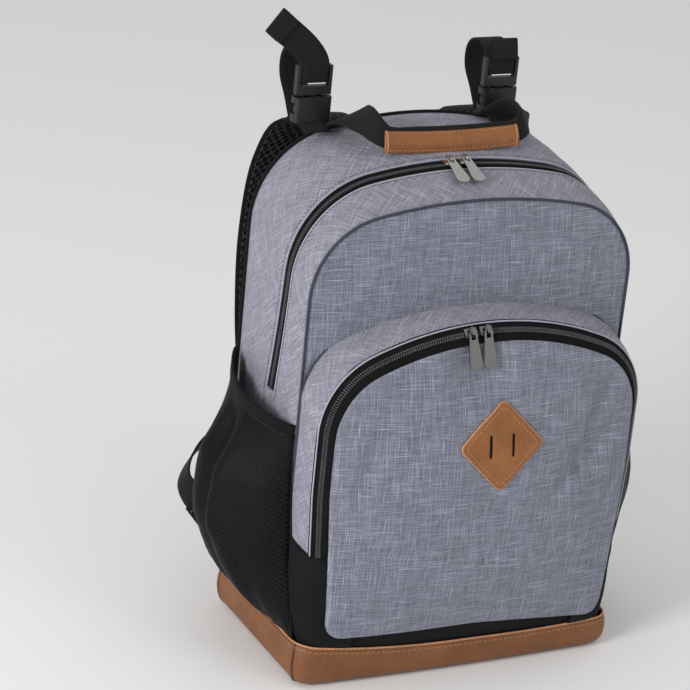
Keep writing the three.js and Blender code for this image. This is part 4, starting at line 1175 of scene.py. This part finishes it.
left_half = [(-x, *rest) for x, *rest in HANDLE_HALF]
q = spline(left_half + [(0, 13.6, 442.8, 19.0, 1.0)] + HANDLE_HALF[::-1], 10)
path, widths, turned = q[:, :3], q[:, 3], np.clip(q[:, 4], 0, 1)
grip_side = unit(np.array([0, 0.42, 1.0]))
sides, sections = [], []
for p, t, w in zip(path, turned, widths):
    sides.append(unit(root_side(-1 if p[0] < 0 else 1) * (1 - t) + grip_side * t))
    curl = 1.5 * (1 - abs(2 * t - 1))
    sections.append([(x, y - curl * (x / (w / 2)) ** 2) for x, y in strap_section(w, 2.4 + 0.5 * t, 0.7, 7)])
grip = sweep("handle_strap", path, sides, sections, WEBBING)
bend(grip, "handle", (0, 0.068, 0.442), (0, 0.045, 0.455), "webbing", "handle_webbing")
for side, sgn in SIDES:
    out = unit(np.array([0.21 * sgn, -0.45, 1.0]))
    for y, z in ((80.0, 436.0), (73.5, 439.2)):
        row = np.array([(sgn * 74.5, y, z) + root_side(sgn) * w for w in np.linspace(-16.5, 16.5, 20)])
        name = f"handle_root_stitches_{int(y)}_{side}"
        put(stitches(name, row + out * 1.4, out, DARK_THREAD_AND_SEAM_SHADOW, 2.6, 1.1, 0.5, 0.1), "bag", "webbing")

# The wrap is a sleeve of leather, folded round the strap and sewn along its lower edge.
WRAP_LOW, WRAP_HIGH, WRAP_HALF = -64.5, 61.0, 9.2


def wrap_section(x):
    size = 1 - 0.05 * math.exp(-(min(x - WRAP_LOW, WRAP_HIGH - x) / 2.0) ** 2)
    w, h = WRAP_HALF * size, 3.6 * size
    ring = []
    for t in np.linspace(0, 2 * math.pi, 30, endpoint=False):
        u, s = w * power(math.cos(t), 0.62), math.sin(t)
        pinch = 1 - 0.45 * (1 / (1 + math.exp((u + w - 4.2) / 0.7)))
        ring.append((u, h * power(s, 0.6) * pinch + 0.25 * noise.noise(Vector((x / 17, u / 7, s)))))
    return ring


wrap_x = np.linspace(WRAP_LOW, WRAP_HIGH, 60)
wrap_path = np.array([(x, 12.6, 441.6 - 2.4 * (1 - (x / 62.0) ** 2)) for x in wrap_x])
sections = [wrap_section(x) for x in wrap_x]
grip_across = unit(np.array([0, 0.4, 1.0]))
grip_normal = unit(np.cross(ACROSS, grip_across))
wrap = sweep("handle_leather", wrap_path, grip_across, sections, TAN)
put(wrap, "handle", "leather", "handle_wrap")
out = grip_normal * (1 if grip_normal[1] < 0 else -1)
for label, u, lift in (("lower", -7.2, 2.5), ("upper", 7.2, 3.3)):
    line = wrap_path[1:-1] + grip_across * u + out * lift
    row = stitches(f"handle_stitches_{label}", line, out, PALE_THREAD, 2.8, 1.5, 0.55, 0.1)
    put(row, "handle", "leather")
for label, i in (("left", 1), ("right", -2)):
    loop = np.array([wrap_path[i] + grip_across * u + grip_normal * h for u, h in sections[i]])
    put(tube(f"handle_wrap_end_{label}", loop, 0.6, TAN_CUT_EDGE_AND_FOLD_HIGHLIGHT, closed=True), "handle", "leather")
# A light tube along the wrap's folded edge is a painted highlight of the fold.
fold_line = wrap_path + grip_across * WRAP_HALF
put(tube("handle_fold_highlight", fold_line, 0.8, TAN_CUT_EDGE_AND_FOLD_HIGHLIGHT), "handle", "leather")


# ---------------------------------------------------------------- the pockets inside
def inner_pocket(name, half, y0, depth, z0, z1, node):
    P = []
    for v in np.linspace(0, 1, 26):
        row = []
        for u in np.linspace(-1, 1, 50):
            puff = depth * (1 - abs(u) ** 3) * (0.55 + 0.45 * v) * min(1, v * 6) ** 0.5
            pleat = 0.9 * math.sin(u * 9.0 + v) * v
            z = z0 + (z1 - z0) * v - 4.0 * v * (1 - u * u)
            row.append((half * u, y0 - puff - pleat * (1 - abs(u)), z))
        P.append(row)
    put(sheet_grid(name, P, LINING, 1.2), "bag", "lining", node)
    top = np.array(P[-1]) + np.array([0, 0.2, -3.0])
    put(sweep(name + "_hem", top, (0, 0, 1), strap_section(10, 2.4, 0.9), BLACK_CLOTH), "bag", "lining")


inner_pocket("organiser_cloth", 110, -50.6, 11.0, 58, 170, "organiser_pocket")
inner_pocket("rear_pocket_cloth", 115, 69.0, 12.0, 60, 250, "rear_pocket")


# ---------------------------------------------------------------- CAD pieces that stay
HARD = {"main_slider": NICKEL, "pocket_slider": SHADED_NICKEL, "main_pull": NICKEL, "pocket_pull": SHADED_NICKEL,
        "buckle": PLASTIC, "ladder_lock": PLASTIC, "base_board": PLASTIC, "back_foam": LINING}
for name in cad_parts:
    o = bpy.data.objects.get(name)
    if o is None or o.hide_render:
        continue
    for start, material in HARD.items():
        if name.startswith(start):
            o.data.materials.clear()
            o.data.materials.append(material)
            if material is not LINING:
                bevel(o, 0.6 if material is PLASTIC else 0.3, 32)


# ---------------------------------------------------------------- floor and light
def floor(half=6.0, z=-0.0006):
    me = bpy.data.meshes.new("floor")
    corners = [(-half, -half, z), (half, -half, z), (half, half, z), (-half, half, z)]
    me.from_pydata(corners, [], [(0, 1, 2, 3)])
    o = bpy.data.objects.new("floor", me)
    bpy.context.scene.collection.objects.link(o)
    m = Mat("floor")
    m.fill(m.shader, Base_Color=(0.93, 0.93, 0.93), Roughness=0.9, Specular_IOR_Level=0.1)
    me.materials.append(m.material)
    o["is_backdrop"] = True


floor()
world = bpy.data.worlds.new("world")
bpy.context.scene.world = world
world.use_nodes = True
world.node_tree.nodes["Background"].inputs[0].default_value = (1.0, 1.0, 1.0, 1)
world.node_tree.nodes["Background"].inputs[1].default_value = 0.58


def area(name, at, to, size, power):
    light = bpy.data.lights.new(name, "AREA")
    light.shape, light.size, light.energy = "DISK", size, power
    o = bpy.data.objects.new(name, light)
    o.location = at
    o.rotation_euler = (Vector(to) - Vector(at)).to_track_quat("-Z", "Y").to_euler()
    bpy.context.scene.collection.objects.link(o)


area("key", (-2.6, -1.1, 1.25), (0, 0, 0.22), 1.0, 50)
area("fill", (1.2, -2.4, 1.9), (0, 0, 0.3), 1.6, 8)
area("top", (0.0, 0.5, 2.6), (0, 0, 0.3), 1.6, 3)

low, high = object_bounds()
